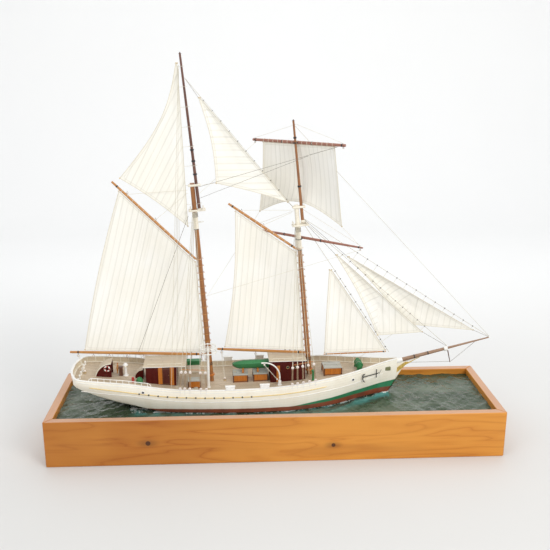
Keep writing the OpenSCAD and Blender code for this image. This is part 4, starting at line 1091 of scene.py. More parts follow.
# ---------------------------------------------------------------- hatches, boat and deck gear
HATCHES = [(-318, -300, -10, 10, 22), (-198, -171, -44, -24, 16), (-96, -64, -16, 16, 16),
    (-50, -18, -16, 16, 16),
    (112, 152, -22, 14, 15)]
hatch_top = lambda h: max(deck_z(h[0]), deck_z(h[1])) + h[4]
k, lids = Batch(), Batch()
k.cur = 2
x0, x1, y0, y1, rise = HATCHES[0]
low = min(deck_z(x0), deck_z(x1)) - 0.5
hood = [[x0, low], [x0, low + 8], [x0 + 3, low + 14], [x0 + 9, low + 19.5], [x1, low + rise], [x1, low]]
k.prism(hood, y0, y1, side_view)
for s, y in ((-1, y0), (1, y1)):
    k.box([x0 + 9, y, low + 1], [x0 + 10, y + s * 0.6, low + 18], 0.2)
lids.cur = 2
slope = np.array([[p[0], 0, p[1] + 0.4] for p in hood[1:5]]) + [-0.6, 0, 0.4]
strap(lids, slope, y1 - y0 + 2.4, 1.0)
for h in HATCHES[1:]:
    x0, x1, y0, y1 = h[:4]
    top, low = hatch_top(h), min(deck_z(x0), deck_z(x1)) - 0.5
    k.cur = 0
    k.box([x0, y0, low], [x1, y1, top], 0.4)
    k.cur = 1
    for x in (x0, x1):
        for y in (y0, y1):
            k.box([x - 1.3, y - 1.3, low], [x + 1.3, y + 1.3, top - 0.1], 0.3)
    for y, s in ((y0, -1), (y1, 1)):
        k.box([x0, y, low + 2], [x1, y + s * 0.8, low + 3.4], 0.2)
        k.cur = 0
        for x in np.arange(x0 + 6, x1 - 3, 6):
            k.box([x, y, low], [x + 0.9, y + s * 0.6, top - 0.4], 0.15)
        k.cur = 1
    lids.cur = 0
    lids.box([x0 - 1.2, y0 - 1.2, top], [x1 + 1.2, y1 + 1.2, top + 1.8], 0.4)
    for y in np.linspace(y0 + 3, y1 - 3, 3):
        lids.box([x0, y - 0.8, top + 1.6], [x1, y + 0.8, top + 2.5], 0.25)
    lids.cur = 1
    for x in (x0 + 4, x1 - 4):
        lids.ring([x, (y0 + y1) / 2, top + 2.4], [0, 1, 0], 1.2, 0.3, 14, 6)
k.make("hatch_coamings_panelled", [ORANGE, DARKWOOD, MAROON], slot="varnish", replaces=("hatch_coamings",))
lids.make("hatch_covers", [LID, BRASS, ROOF], slot="grey_lid", replaces=("hatch_lids",))

BOAT_X, BOAT_Y, BOAT_Z, BOAT_HALF = -56.0, 3.0, hatch_top(HATCHES[3]) + 8.2, 42.0
BOAT_DEPTH, BOAT_COVER, STRAKES = 15.0, 5.3, 5


def boat_ring(s, n):
    """One ring of the boat: clinker planking from gunwale to gunwale, then back over the cover."""
    b = 12 * ((1 - 0.35 * s * s) if s > 0 else math.sqrt(max(0.02, 1 - (-s) ** 2.2)))
    low = 9 * ((-s - 0.5) * 2) ** 2 if s < -0.5 else 0
    top = BOAT_DEPTH + (3 if s > 0 else -2.5) * s * s
    arch = BOAT_COVER * (1 - abs(s) ** 4)
    x, out = BOAT_X + s * BOAT_HALF, []
    for a in np.radians(np.linspace(-90, 90, n)):
        f = 1 - max(0.0, math.cos(a)) ** 1.4
        step = 0.45 * (f * STRAKES % 1.0) * min(1.0, b / 6)
        out.append([x, BOAT_Y + (b - step) * math.sin(a), BOAT_Z + low + (top - low) * f])
    for q in np.linspace(0.92, -0.92, 15):
        sag = 0.45 * math.sin(9 * s) ** 2 * (1 - q * q)
        out.append([x, BOAT_Y + q * b, BOAT_Z + top + arch * (1 - q * q) - sag])
    return out


def boat_piece():
    k = Batch()
    ss = np.linspace(-1, 1, 41)
    n = 31
    rings = np.array([boat_ring(s, n) for s in ss])
    k.add(rings.reshape(-1, 3), loft(len(ss), rings.shape[1]))
    for e in (0, n - 1):
        k.tube(rings[:, e] + [0, 0, 0.2], 0.8, 6)
    k.cur = 1
    for s in (-1, 1):
        lace = rings[2:-2, n + (0 if s > 0 else 14)] + [0, s * 0.3, -0.5]
        zigzag = 0.5 * np.cos(np.arange(len(lace)) * math.pi)
        k.tube(lace + np.stack([0 * zigzag, 0 * zigzag, zigzag], 1), 0.28, 5)
    k.tube(rings[:, n + 7] + [0, 0, 0.1], 0.35, 6)
    k.cur = 2
    keel = rings[:, n // 2] - [0, 0, 0.2]
    k.tube(keel, 0.85, 6)
    return k.make("clinker_boat", [GREEN, TARRED, DARKWOOD], slot="green_paint", replaces=("boat",))


boat_piece()
k = Batch()
for x, low in ((-42, hatch_top(HATCHES[3]) + 2.2), (-76, hatch_top(HATCHES[2]) + 2.2)):
    k.prism([[-7, low], [13, low], [13, low + 8], [8, BOAT_Z + 2.6], [3, BOAT_Z - 0.6], [-2, BOAT_Z + 2.6],
        [-7, low + 8]],
        x, x + 4, end_view)
k.make("boat_cradles", ORANGE, slot="varnish", replaces=("boat_chocks",))

DAVIT = np.array([7, -44, deck_z(7) + 6])
k = Batch()
a = np.linspace(0, math.pi / 2, 14)
curve = np.stack([-34 + 34 * np.cos(a), 0 * a, 14 + 34 * np.sin(a)], 1)
pts = np.concatenate([[[0, 0, 0], [0, 0, 7]], curve, [[-40, 0, 48]]]) + DAVIT
k.tube(pts, np.linspace(1.9, 1.35, len(pts)), 12)
k.ball(pts[-1], 1.9)
k.ring(DAVIT + [0, 0, 13], [0, 0, 1], 1.9, 0.5)
k.cur = 1
for d in (-0.7, 0.7):
    k.line(DAVIT + [-37 + d, 0, 46], DAVIT + [-4 + d, 0, 5.4], 0.32)
k.cur = 2
k.ball(DAVIT + [-34.5, 0, 43.4], 2.0, 0.6, (0, 1, 0))
k.ball(DAVIT + [-6, 0, 7.6], 2.0, 0.6, (0, 1, 0))
k.make("davit_and_tackle", [PLATE, THREAD, BLOCK], "davit_arm", "white_metal", ("davit",))

RING_P, RING_TOP, RING_R = (-153, -38), 139, 19
k = Batch()
z0 = deck_z(-153)
k.turned([*RING_P, z0 - 0.5], [(0, 4.4), (2, 4.4), (3, 3.1), (20, 2.8), (RING_TOP - z0 - 1, 2.7)], 16)
for z in (RING_TOP, RING_TOP - 11):
    k.ring([*RING_P, z], [0, 0, 1], RING_R, 1.1, 48, 8)
    for dx, dy in ((1, 0), (0, 1)):
        centre, reach = np.array([*RING_P, z]), 18.4 * np.array([dx, dy, 0])
        k.line(centre - reach, centre + reach, 0.8, 8)
for a in np.arange(0, 2 * math.pi, math.pi / 6):
    p = np.array([RING_P[0] + RING_R * math.cos(a), RING_P[1] + RING_R * math.sin(a), RING_TOP])
    k.turned(p - [0, 0, 15], [(0, 0.4), (1, 0.7), (3, 0.5), (12, 0.5), (15, 0.9), (17.5, 0.7)], 8)
k.make("white_ring_stand", PLATE, slot="white_metal", replaces=("ring_stand",))

WIND = np.array([195, -2, deck_z(195) + 13])
k = Batch()
for s in (-1, 1):
    y, low = WIND[1] + s * 15, deck_z(195) - 0.5
    k.prism([[188, low], [202, low], [200, WIND[2] + 4], [197.5, WIND[2] + 8], [192.5, WIND[2] + 8],
        [190, WIND[2] + 4]],
        y - 1.5, y + 1.5, side_view)
    k.box([202, y - 1.1, low], [209, y + 1.1, low + 6], 0.4)
k.make("windlass_cheeks", GREEN, slot="green_paint", replaces=("windlass_frame",))
k = Batch()
ax = [0, 1, 0]
k.lathe(WIND - [0, 20, 0], ax, [(0, 3), (0.4, 4.5), (4, 4.2), (4.6, 2), (8, 2), (8.2, 6.6), (9.4, 8.5),
    (11.6, 8.5), (12.4, 6),
    (18.4, 5.4), (19, 8.5), (21, 8.5), (21.6, 5.4), (27.6, 6), (28.6, 8.5), (30.6, 8.5), (31.8, 6.6),
    (32, 2), (35.4, 2),
    (36, 4.2), (39.6, 4.5), (40, 3)], 24)
k.cur = 1
for z in np.arange(-6.5, 7, 1.3):
    if abs(z) > 1.6:
        k.ring(WIND + [0, z, 0], ax, 6.4, 0.6, 22, 6)
k.cur = 2
k.line(WIND + [-6, 9.8, 6.6], WIND + [-8.2, 9.8, 8.6], 0.7, 8)
k.make("windlass_barrel", [GREEN, TARRED, ORANGE], "drum", "green_paint", ("windlass_drum",))

k = Batch()
for s in (-1, 1):
    crown = np.array([198, s * (skin_y(198, 56) + 3.6), 56])
    top = np.array([236, s * (skin_y(236, 57) + 4.3), 57])
    k.tube([crown, (crown + top) / 2, top], [1.25, 1.0, 0.9], 8)
    k.line(top + [-3, 0, -9], top + [-3, 0, 9], 0.8, 8)
    for e, reach in ((1, 8.0), (-1, 13.0)):
        arm = crown + np.array([[0, 0, 0], [-0.6, 0, 0.4 * reach * e], [1.2, 0, 0.75 * reach * e],
            [5.0, 0, reach * e]])
        k.tube(arm, [1.25, 1.15, 1.0, 0.6], 8)
        k.ball(arm[2] + [1.0, 0, 0], 2.0, 0.5, (0.6, 0, 0.8 * e))
        k.ball(top + [-3, 0, 9 * e], 1.2)
    k.ring(top + [1.8, 0, 0], [0, 1, 0], 1.7, 0.4, 18, 6)
    k.line(top + [3.4, 0, 0], top + [9, -s * 4.5, 7], 0.45)
k.make("stocked_anchors", IRON, slot="black_iron", replaces=("anchors",))

k = Batch()
z = deck_z(-307)
k.turned([-307, -30, z - 0.5], [(0, 7.6), (6, 7.4), (8.5, 6.6), (11, 4.6), (12.4, 2), (12.7, 0.4)], 28)
z2 = deck_z(-188)
k.box([-203, 44, z2 + 19], [-172, 58, z2 + 28], 0.8)
k.box([-204, 43, z2 + 27], [-171, 59, z2 + 30], 0.6)
for x in np.arange(-199, -173, 5.0):
    k.box([x, 43.6, z2 + 19.5], [x + 1.0, 58.4, z2 + 27], 0.2)
k.cur = 3
k.box([-201, 45, z2 - 0.5], [-174, 57, z2 + 19.5], 0.6)
k.cur = 0
z3 = deck_z(84)
k.turned([84, -37, z3 - 0.5], [(0, 3.6), (1.5, 3.4), (2.5, 2.6), (18, 2.6), (20.5, 3.0), (24, 4.4),
    (25, 3.6)], 20)
k.cur = 1
k.turned([-321, -34, deck_z(-321) - 0.5], [(0, 3), (5, 3), (9, 3.4), (12, 2.8), (13, 0.5)], 16)
k.cur = 2
for i, (x, y) in enumerate(((-186, -58), (-181, -52))):
    for q in range(4):
        k.ring([x, y, deck_z(x) + 1 + q * 1.3], [0, 0, 1], 4.4 - 0.3 * q, 0.7, 22, 6)
k.make("lockers_and_ventilators", [GREEN, RED, LINE, CREAM], slot="green_paint", replaces=("deck_lockers",))

k = Batch()
z0 = deck_z(7)
k.turned([7, -44, z0 - 0.5], [(0, 5), (1.5, 5), (2.5, 3.8), (10.5, 3.6), (11.4, 3.0)], 18)
for s in (-1, 1):
    top = []
    for x in np.arange(-405, -284, 13.3):
        p = np.array([x, s * (rail_y(x) - 2.0), rail_z(x) + CAP_T - 0.1])
        k.turned(p, [(0, 1.2), (0.7, 1.1), (1.1, 0.6), (6.2, 0.6), (6.7, 1.0), (7.8, 1.0), (8.3, 0.4)], 10)
        top.append(p + [0, 0, 7.3])
    ends = [top[0] + [-5, 0, -2.2], top[0] + [-7.5, 0, -7]], [top[-1] + [5, 0, -2.2], top[-1] + [7.5, 0, -7]]
    k.tube(ends[0][::-1] + top + ends[1], 0.75, 8)
    for x in (-116, -40):
        z = rail_z(x + 10) + CAP_T - 0.3
        y = s * (rail_y(x + 10) - 2.0)
        k.box([x, y - 3, z], [x + 20, y + 3, z + 9.6], 1.0)
        k.box([x - 1, y - 3.6, z + 7.2], [x + 21, y + 3.6, z + 9.8], 0.6)
for y in np.arange(-50, 51, 20):
    z = deck_z(-438)
    k.turned([-438, y, z - 0.5], [(0, 2.6), (1, 2.2), (5, 1.9), (7, 2.5), (9, 2.1), (9.8, 0.8)], 16)
k.make("white_rail_and_bollards", WHITE, slot="white_paint", replaces=("rail_fittings",))


# ---------------------------------------------------------------- masts
def mast_tube(k, fr, x0, z0, z1, r0, r1, lean=0.0, sides=24, steps=14):
    """A tapered pole in a mast's frame, from height z0 to z1, that leans aft by lean degrees."""
    s = np.linspace(0, 1, steps)
    p = np.stack([x0 - (z1 - z0) * s * math.tan(math.radians(lean)), 0 * s, z0 + (z1 - z0) * s], 1)
    k.tube(fr(p), r0 + (r1 - r0) * s, sides)


def band(k, fr, x, z, r, h, lean=0.0):
    s = math.tan(math.radians(lean))
    p = np.array([[x + s * h / 2, 0, z - h / 2], [x + s * h * 0.4, 0, z - h * 0.4],
        [x - s * h * 0.4, 0, z + h * 0.4],
        [x - s * h / 2, 0, z + h / 2]])
    k.tube(fr(p), [r - 0.25, r, r, r - 0.25], 24)


def hoop(k, fr, at, big, small, sides, sec):
    """A ring square to a mast."""
    centre = fr(at)[0]
    k.ring(centre, fr(np.add(at, [0, 0, 1]))[0] - centre, big, small, sides, sec)


def radius(z, head, r, tip): return r + (tip - r) * (z + 24) / (head + 24)


def lower_mast(name, fr, head, trees, hounds, head_mat, node):
    """Varnished pole; the hounds below the trees are painted cream under the eyes of the shrouds."""
    k = Batch()
    rr = lambda z: radius(z, head, 6.0, 4.8)
    mast_tube(k, fr, 0, -24, trees - 4, 6.0, rr(trees - 4))
    k.cur = 4
    mast_tube(k, fr, 0, trees - hounds, trees - 4, rr(trees - hounds) + 0.3, rr(trees - 4) + 0.3)
    k.cur = 5
    for i in range(4):
        z = trees - 6.5 - 2.6 * i
        hoop(k, fr, [0, 0, z], rr(z) + 0.7, 0.75, 24, 7)
    k.cur = 1
    mast_tube(k, fr, 0, trees - 4, head, rr(trees - 4), 4.8)
    k.cur = 2
    band(k, fr, 0, 2.5, 8.6, 4)
    k.cur = 3
    for z in (28, 32, trees - hounds):
        band(k, fr, 0, z, rr(z) + 0.35, 2.0)
    return k.make(name, [LOWER, head_mat, ORANGE, IRON, CREAM, TARRED], slot="lower_mast", replaces=(node,))


def topmast(name, fr, heel, lean, length, bands, finish, node):
    k = Batch()
    t = math.tan(math.radians(lean))
    at = lambda s: heel[0] - length * s * t
    r = lambda s: 3.6 - 1.44 * s
    h = length * math.cos(math.radians(lean))
    mast_tube(k, fr, heel[0], heel[2], heel[2] + h * 0.99, 3.6, 2.2, lean)
    k.cur = 1
    for s in bands:
        band(k, fr, at(s), heel[2] + h * s, r(s) + 1.1, 3.4, lean)
    k.cur = 2
    tip = fr([at(0.99), 0, heel[2] + h * 0.99])[0]
    k.ball(tip, 2.7, 0.5, (0, 0, 1), 18)
    k.ball(tip + [0, 0, 1.9], 1.3, 0.8)
    k.cur = 3
    band(k, fr, heel[0], heel[2] + 3, 4.1, 5, lean)
    return k.make(name, [finish, IRON, DARKWOOD, CREAM], slot="topmast", replaces=(node,))


lower_mast("main_lower_mast_pole", main, MAIN_HEAD, MAIN_TREES, 42, LOWER, "main_lower_mast")
lower_mast("fore_lower_mast_pole", fore, FORE_HEAD, FORE_TREES, 56, CREAM, "fore_lower_mast")
topmast("main_topmast_pole", main, MAIN_HEEL, TOP_LEAN_MAIN, MAIN_TOP_L, (0.24, 0.325, 0.397), TOPM,
    "main_topmast")
topmast("fore_topmast_pole", fore, FORE_HEEL, TOP_LEAN_FORE, FORE_TOP_L, (0.36, 0.83), FORETOP,
    "fore_topmast")


def cap_and_trees(k, fr, head, trees, heel, lean, span):
    zc = head - 5
    tx = heel[0] - (zc - heel[2]) * math.tan(math.radians(lean))
    mid, half = heel[0] / 2, (heel[0] + 26) / 2
    k.box([-9, -6.5, zc - 2.5], [tx + 9, 6.5, zc + 2.5], 1.2, fr=fr)
    for y in (-8.2, 8.2):
        k.box([mid - half, y - 1.5, trees - 2], [mid + half, y + 1.5, trees + 2], 0.6, fr=fr)
    for x in (-9, heel[0] + 8):
        k.box([x - 1.5, -span / 2, trees + 2], [x + 1.5, span / 2, trees + 4.4], 0.6, fr=fr)
        for y in (-1, 1):
            k.ball(fr([x, y * (span / 2 - 1), trees + 4.4])[0], 1.1)
    k.box([heel[0] - 4.5, -1.4, heel[2] - 1], [heel[0] + 4.5, 1.4, heel[2] + 3], 0.4, fr=fr)


k = Batch()
cap_and_trees(k, main, MAIN_HEAD, MAIN_TREES, MAIN_HEEL, TOP_LEAN_MAIN, 46)
cap_and_trees(k, fore, FORE_HEAD, FORE_TREES, FORE_HEEL, TOP_LEAN_FORE, 40)
k.make("caps_and_crosstrees", CREAM, slot="white_paint", replaces=("crosstrees",))

SPRIT_A, SPRIT_B, SPRIT_TIP = np.array([286, 0, 75.5]), np.array([404, 0, 103.6]), np.array([505, 0, 128])
d1, d2 = SPRIT_B - SPRIT_A, SPRIT_TIP - SPRIT_B
k = Batch()
k.tube([SPRIT_A + d1 * s for s in np.linspace(0.02, 1, 12)], np.linspace(4.8, 3.4, 12), 20)
k.tube([SPRIT_B + d2 * s for s in np.linspace(-0.02, 1, 12)], np.linspace(2.8, 1.5, 12), 18)
k.cur = 1
k.tube([SPRIT_A - d1 * 0.04 + [0, 0, 0.2], SPRIT_A + d1 * 0.10, SPRIT_A + d1 * 0.11], [6.0, 5.8, 5.2], 20)
k.tube([SPRIT_B - d1 * 0.06, SPRIT_B - d1 * 0.05, SPRIT_B + d1 * 0.005, SPRIT_B + d1 * 0.015],
    [4.4, 5.7, 5.7, 4.4], 20)
k.ball(SPRIT_TIP - d2 * 0.005, 2.1)
k.cur = 2
for s in (0.35, 0.62):
    k.tube([SPRIT_A + d1 * (s - 0.01), SPRIT_A + d1 * (s + 0.01)], 4.8 - 1.4 * s + 0.3, 20)
k.make("bowsprit_and_jibboom", [BOWSP, WHITE, IRON], slot="spar", replaces=("bowsprit",))
k = Batch()
k.tube([[407, 0, 97.6], [409.5, 0, 87.3], [414, 0, 69]], [1.3, 1.2, 0.8], 10)
k.ball([414, 0, 69], 1.2)
k.make("dolphin_striker_spar", DARKWOOD, slot="spar", replaces=("dolphin_striker",))


# ---------------------------------------------------------------- moving spars
def spar(k, fr, a, b, r, end=0.7, bands=(0.06, 0.94), sides=18):
    a, b = np.array(a, float), np.array(b, float)
    s = np.linspace(0, 1, 17)
    k.cur = 0
    k.tube(fr(a + (b - a) * s[:, None]), r * (end + (1 - end) * np.sin(np.pi * s) ** 0.7), sides)
    k.cur = 1
    for q in bands:
        half = 1.4 / np.linalg.norm(b - a)
        p = np.array([a + (b - a) * (q - half), a + (b - a) * (q + half)])
        k.tube(fr(p), r * (end + (1 - end) * math.sin(math.pi * q) ** 0.7) + 0.3, sides)
    k.cur = 0


def jaws(k, fr, z, r=6.0):
    """Two cheeks round the after side of the mast, with a row of parrel beads in front."""
    for s in (-1, 1):
        a = np.linspace(math.pi * 0.42, math.pi, 12) * s
        k.cur = 0
        p = np.stack([(r + 2.2) * np.cos(a), (r + 2.2) * np.sin(a), 0 * a + z], 1)
        k.tube(fr(p), np.linspace(0.9, 1.6, 12), 10)
    k.cur = 2
    for a in np.linspace(-0.42, 0.42, 5) * math.pi:
        k.ball(fr([(r + 1.9) * math.cos(a), (r + 1.9) * math.sin(a), z])[0], 1.15, sides=10)
    k.cur = 0


def blocks(k, fr, spots, size=2.6):
    """A hanging block with its sheave and strop at each spot."""
    for x, y, z in spots:
        p = fr([x, y, z])[0]
        k.cur = 2
        k.ball(p, size, 0.62, (0, 1, 0), 14)
        k.cur = 1
        k.ring(p, [0, 1, 0], size * 0.98, 0.28, 16, 6)
        k.line(p + [0, 0, size * 0.9], p + [0, 0, size + 2.2], 0.4)
    k.cur = 0


def on_line(a, b, x, below): return [x, 0, a[1] + (b[1] - a[1]) * (x - a[0]) / (b[0] - a[0]) - below]


MATS = [SPAR, IRON, BLOCK]
MB, FB = ((-9.5, 52.7), (-313, 80.6)), ((-9.5, 45.2), (-207, 69.4))
MG, FG = ((-8.7, 278), (-170, 460)), ((-8.5, 292.5), (-147, 405))
p3 = lambda q: [q[0], 0, q[1]]
k = Batch()
spar(k, main_sw, p3(MB[0]), p3(MB[1]), 3.5, 0.72)
jaws(k, main_sw, 52.7)
blocks(k, main_sw, [on_line(*MB, x, 8.4) for x in (-148, -186, -226, -262, -296)])
k.make("main_boom_spar", MATS, "main_sail_set", "spar", ("main_boom",))
k = Batch()
spar(k, main_sw, p3(MG[0]), p3(MG[1]), 3.1, 0.72)
jaws(k, main_sw, 278)
blocks(k, main_sw, [[-86, 0, 371.5], [-140, 0, 433.5]], 2.0)
k.make("main_gaff_spar", MATS, "main_sail_set", "spar", ("main_gaff",))
k = Batch()
spar(k, fore_sw, p3(FB[0]), p3(FB[1]), 3.3, 0.72)
jaws(k, fore_sw, 45.2)
blocks(k, fore_sw, [on_line(*FB, x, 7.8) for x in (-120, -198)])
k.make("fore_boom_spar", MATS, "fore_sail_set", "spar", ("fore_boom",))
k = Batch()
spar(k, fore_sw, p3(FG[0]), p3(FG[1]), 3.1, 0.72)
jaws(k, fore_sw, 292.5)
blocks(k, fore_sw, [[-75, 0, 351], [-120, 0, 387]], 2.0)
k.make("fore_gaff_spar", MATS, "fore_sail_set", "spar", ("fore_gaff",))


def yard_end(half, z, s, tilt):
    """A point along a yard: port side where s is -1, starboard and lower where it is 1."""
    a = math.radians(tilt)
    return [s * half * math.cos(a), 0, z - s * half * math.sin(a)]


def yard_piece(name, half, z, r, end, off, ring_r, tilt, node):
    k = Batch()
    spar(k, yards, yard_end(half, z, -1, tilt), yard_end(half, z, 1, tilt), r, end, (0.03, 0.34, 0.66, 0.97))
    k.cur = 1
    hoop(k, yards, [0, -off, z], ring_r + 1, 1.0, 28, 8)
    k.tube(yards([[0, -off + ring_r + 1.2, z], [0, -1.5, z]]), 1.4, 10)
    blocks(k, yards, [yard_end(half * 0.96, z - 5.5, s, tilt) for s in (-1, 1)], 1.7)
    return k.make(name, [YARD, IRON, BLOCK], "yard_set", "topmast", (node,))


yard_piece("fore_yard_spar", 154, YARD_Z, 3.1, 0.55, YARD_OFF, 5.9, FORE_YARD_TILT, "fore_yard")
yard_piece("topsail_yard_spar", 120, TOP_YARD_Z, 3.5, 0.85, TOP_YARD_OFF, 3.4, TOP_YARD_TILT, "topsail_yard")
k = Batch()
spar(k, ship, [259, 0, 100], [113, 0, 98], 1.7, 0.7, (0.04, 0.96), 12)
k.make("staysail_club_spar", MATS, "staysail_set", "spar", ("staysail_club",))


# ---------------------------------------------------------------- sails
def sail_points(c, b, roach=0, skew=1, foot=0, lee=0, nu=34, nv=42, ripple=0.5):
    u, v = np.meshgrid(np.linspace(0, 1, nu + 1), np.linspace(0, 1, nv + 1))
    c = np.array(c, float)
    p = (1 - v)[..., None] * ((1 - u)[..., None] * c[0] + u[..., None] * c[1]) \
        + v[..., None] * ((1 - u)[..., None] * c[3] + u[..., None] * c[2])
    x = p[..., 0] - roach * u * u * np.sin(np.pi * v ** skew)
    y = b * np.sin(np.radians(162) * u) * np.sin(np.pi * v) + lee * u * (1 - v)
    z = p[..., 1] - foot * np.sin(np.pi * u) * (1 - v) ** 2
    pull = np.sin(np.pi * u) * np.sin(np.pi * v)
    waves = np.sin(9 * u + 5 * v) + 0.6 * np.sin(14 * v - 6 * u + 1) + 0.4 * np.sin(23 * u + 8 * v)
    y = y + ripple * pull * waves
    return np.stack([x, y, z], -1)


def sail(name, fr, body, node, cut, panel, held_by, b, seam_from, rope=0.75, **kw):
    """Sewn cloth between four corners; panel is the cloths' width and seam_from says how they run."""
    g = sail_points(cut, b, **kw)
    flat = sail_points(cut, 0, **{**kw, "lee": 0, "ripple": 0})
    rows, cols = g.shape[:2]
    world = to_row(fr(g.reshape(-1, 3)))
    idx = np.arange(rows * cols).reshape(rows, cols)
    quads = np.stack([idx[:-1, :-1], idx[:-1, 1:], idx[1:, 1:], idx[1:, :-1]], -1).reshape(-1, 4).tolist()
    o = mesh_object(name, world, quads, CLOTH, None, 180)
    q = flat[..., [0, 2]].reshape(-1, 2)
    c = np.array(cut, float)
    if seam_from == "leech":
        d = unit(c[2] - c[1])
        across = (q - c[1]) @ np.array([d[1], -d[0]])
    elif seam_from == "level":
        across = q[:, 1] - c[:, 1].min()
    elif seam_from == "upright":
        across = np.tile(np.linspace(0, 1, cols), rows) * abs(c[1][0] - c[0][0])
    else:
        mid = (c[0] + c[3]) / 2
        d = mid - c[1]
        side_of = (q[:, 0] - c[1][0]) * d[1] - (q[:, 1] - c[1][1]) * d[0]
        leech, foot_d = unit(c[2] - c[1]), unit(c[0] - c[1])
        up = side_of * ((c[2][0] - c[1][0]) * d[1] - (c[2][1] - c[1][1]) * d[0]) > 0
        across = np.where(up, (q - c[1]) @ leech, -(q - c[1]) @ foot_d)
    set_uv(o.data, np.stack([across / panel, np.repeat(np.linspace(0, 1, rows), cols)], 1))
    edge = np.concatenate([g[0], g[1:, -1], g[-1, -2::-1], g[-2:0:-1, 0]])
    gp = g.reshape(-1, 3)
    hem = np.array([np.min(np.linalg.norm(edge - p, axis=1)) for p in gp])
    set_attr(o.data, "hem", hem / 1000)
    finish_piece(o, body, (node,))
    k = Batch()
    loop = edge[np.concatenate([[True], np.linalg.norm(np.diff(edge, axis=0), axis=1) > 0.4])]
    k.tube(fr(loop), rope, 6, closed=True)
    k.cur = 1
    for p in (g[0, 0], g[0, -1], g[-1, -1], g[-1, 0]):
        k.ring(fr(p)[0], [0, 1, 0], 1.3, 0.45, 14, 6)
    r = k.make(name + "_boltrope", [THREAD, BRASS], body, "cord")
    luff, leech = c[3] - c[0], c[2] - c[1]
    d = unit(max((luff, leech), key=np.linalg.norm))
    return g


ms = sail("mainsail_cloth", main_sw, "main_sail_set", "mainsail",
    [[-10, 58.5], [-279, 83.5], [-157.5, 438.5], [-10, 271]],
    12.5, ["main_boom_spar", "main_gaff_spar"], 12, "leech", roach=7)
gt = sail("gaff_topsail_cloth", main_sw, "main_sail_set", "gaff_topsail",
    [[-18, 352], [-152, 466], [-9, 692], [-6, 692]],
    12.5, ["main_gaff_spar"], 4, "leech", roach=-26, foot=-6)
fs = sail("foresail_cloth", fore_sw, "fore_sail_set", "foresail",
    [[-9.5, 51], [-189, 73.5], [-133.5, 387], [-9.5, 284]],
    12.5, ["fore_boom_spar", "fore_gaff_spar"], 12, "leech", roach=-9)
ts = sail("topmast_staysail_cloth", ship, SHIP, "topmast_staysail",
    [[27, 455], [-127, 498], [-160, 676], [-157, 676]],
    14, ["standing_rigging"], 6, "level", roach=-8, skew=1, foot=-3)
sq = sail("square_topsail_cloth", yards, "yard_set", "square_topsail",
    [[104, 349], [-116, 364], [-92, 522.4], [94, 517.5]],
    13, ["topsail_yard_spar"], 12, "upright", foot=-38)
st = sail("fore_staysail_cloth", ship, "staysail_set", "fore_staysail",
    [[258, 104], [115, 102.5], [122, 300], [127, 300]],
    14, ["standing_rigging", "staysail_club_spar"], 6, "leech")
jb = sail("jib_cloth", ship, SHIP, "jib", [[343, 146], [239, 139], [136, 334], [139, 334]], 14,
    ["standing_rigging"], 6, "mitre", roach=-6, lee=6)
fj = sail("flying_jib_cloth", ship, SHIP, "flying_jib", [[464, 147], [309, 162], [163, 329], [166, 329]], 14,
    ["standing_rigging"], 6, "mitre", roach=-4, lee=12)


def at_uv(g, u, v):
    r, c = v * (g.shape[0] - 1), u * (g.shape[1] - 1)
    i, j = min(int(r), g.shape[0] - 2), min(int(c), g.shape[1] - 2)
    a, b = r - i, c - j
    return (g[i, j] * (1 - b) + g[i, j + 1] * b) * (1 - a) + (g[i + 1, j] * (1 - b) + g[i + 1, j + 1] * b) * a


def edge_fittings(k, fr, g, count, spar_a, spar_b, u=None, v=None, ring=1.6):
    """Lashings from a sail's edge to its spar, one at each cringle."""
    a, b = np.array(spar_a, float), np.array(spar_b, float)
    d = unit(b - a)
    for s in np.linspace(0.02, 0.98, count):
        p = at_uv(g, s if u is None else u, s if v is None else v)
        q = a + d * ((p - a) @ d)
        k.line(fr(p)[0], fr(q)[0], 0.42)
        k.ring(fr(q)[0], fr(q + d)[0] - fr(q)[0], ring, 0.42, 18, 6)


k = Batch()
edge_fittings(k, main_sw, ms, 15, p3(MG[0]), p3(MG[1]), v=1.0, ring=3.4)
edge_fittings(k, main_sw, gt, 9, [10.4, 0, 384], [1.2, 0, 714], u=0.0, ring=5.9)
k.make("mainsail_lacing", THREAD, "main_sail_set", "cord")
k = Batch()
edge_fittings(k, fore_sw, fs, 11, p3(FG[0]), p3(FG[1]), v=1.0, ring=3.4)
k.make("foresail_lacing", THREAD, "fore_sail_set", "cord")
k = Batch()
edge_fittings(k, yards, sq, 15, yard_end(120, TOP_YARD_Z, 1, TOP_YARD_TILT),
    yard_end(120, TOP_YARD_Z, -1, TOP_YARD_TILT), v=1.0, ring=3.8)
k.make("topsail_robands", THREAD, "yard_set", "cord")
k = Batch()
edge_fittings(k, ship, st, 9, [259, 0, 100], [113, 0, 98], v=0.0, ring=2.0)
k.make("club_lacing", THREAD, "staysail_set", "cord")


# ---------------------------------------------------------------- rigging
HOOP_R = 7.6


def mast_hoops(name, fr, z0, z1, count, body, node, ropes):
    k = Batch()
    for i in range(count):
        z = z0 + (z1 - z0) * i / (count - 1)
        k.cur = 0
        hoop(k, fr, [0, 0, z], HOOP_R, 0.65, 28, 8)
        k.cur = 1
        k.ball(fr([-HOOP_R - 0.2, 0, z])[0], 1.5)
        k.ball(fr([-HOOP_R - 0.2, 0, z + 5])[0], 0.9)
    k.cur = 2
    for a, b in ropes[:2]:
        k.line(fr(a)[0], fr(b)[0], 0.42)
    k.cur = 3
    for a, b in ropes[2:]:
        k.line(fr(a)[0], fr(b)[0], 0.5)
    return k.make(name, [SPAR, BLOCK, THREAD, TARRED], body, "spar", (node,))


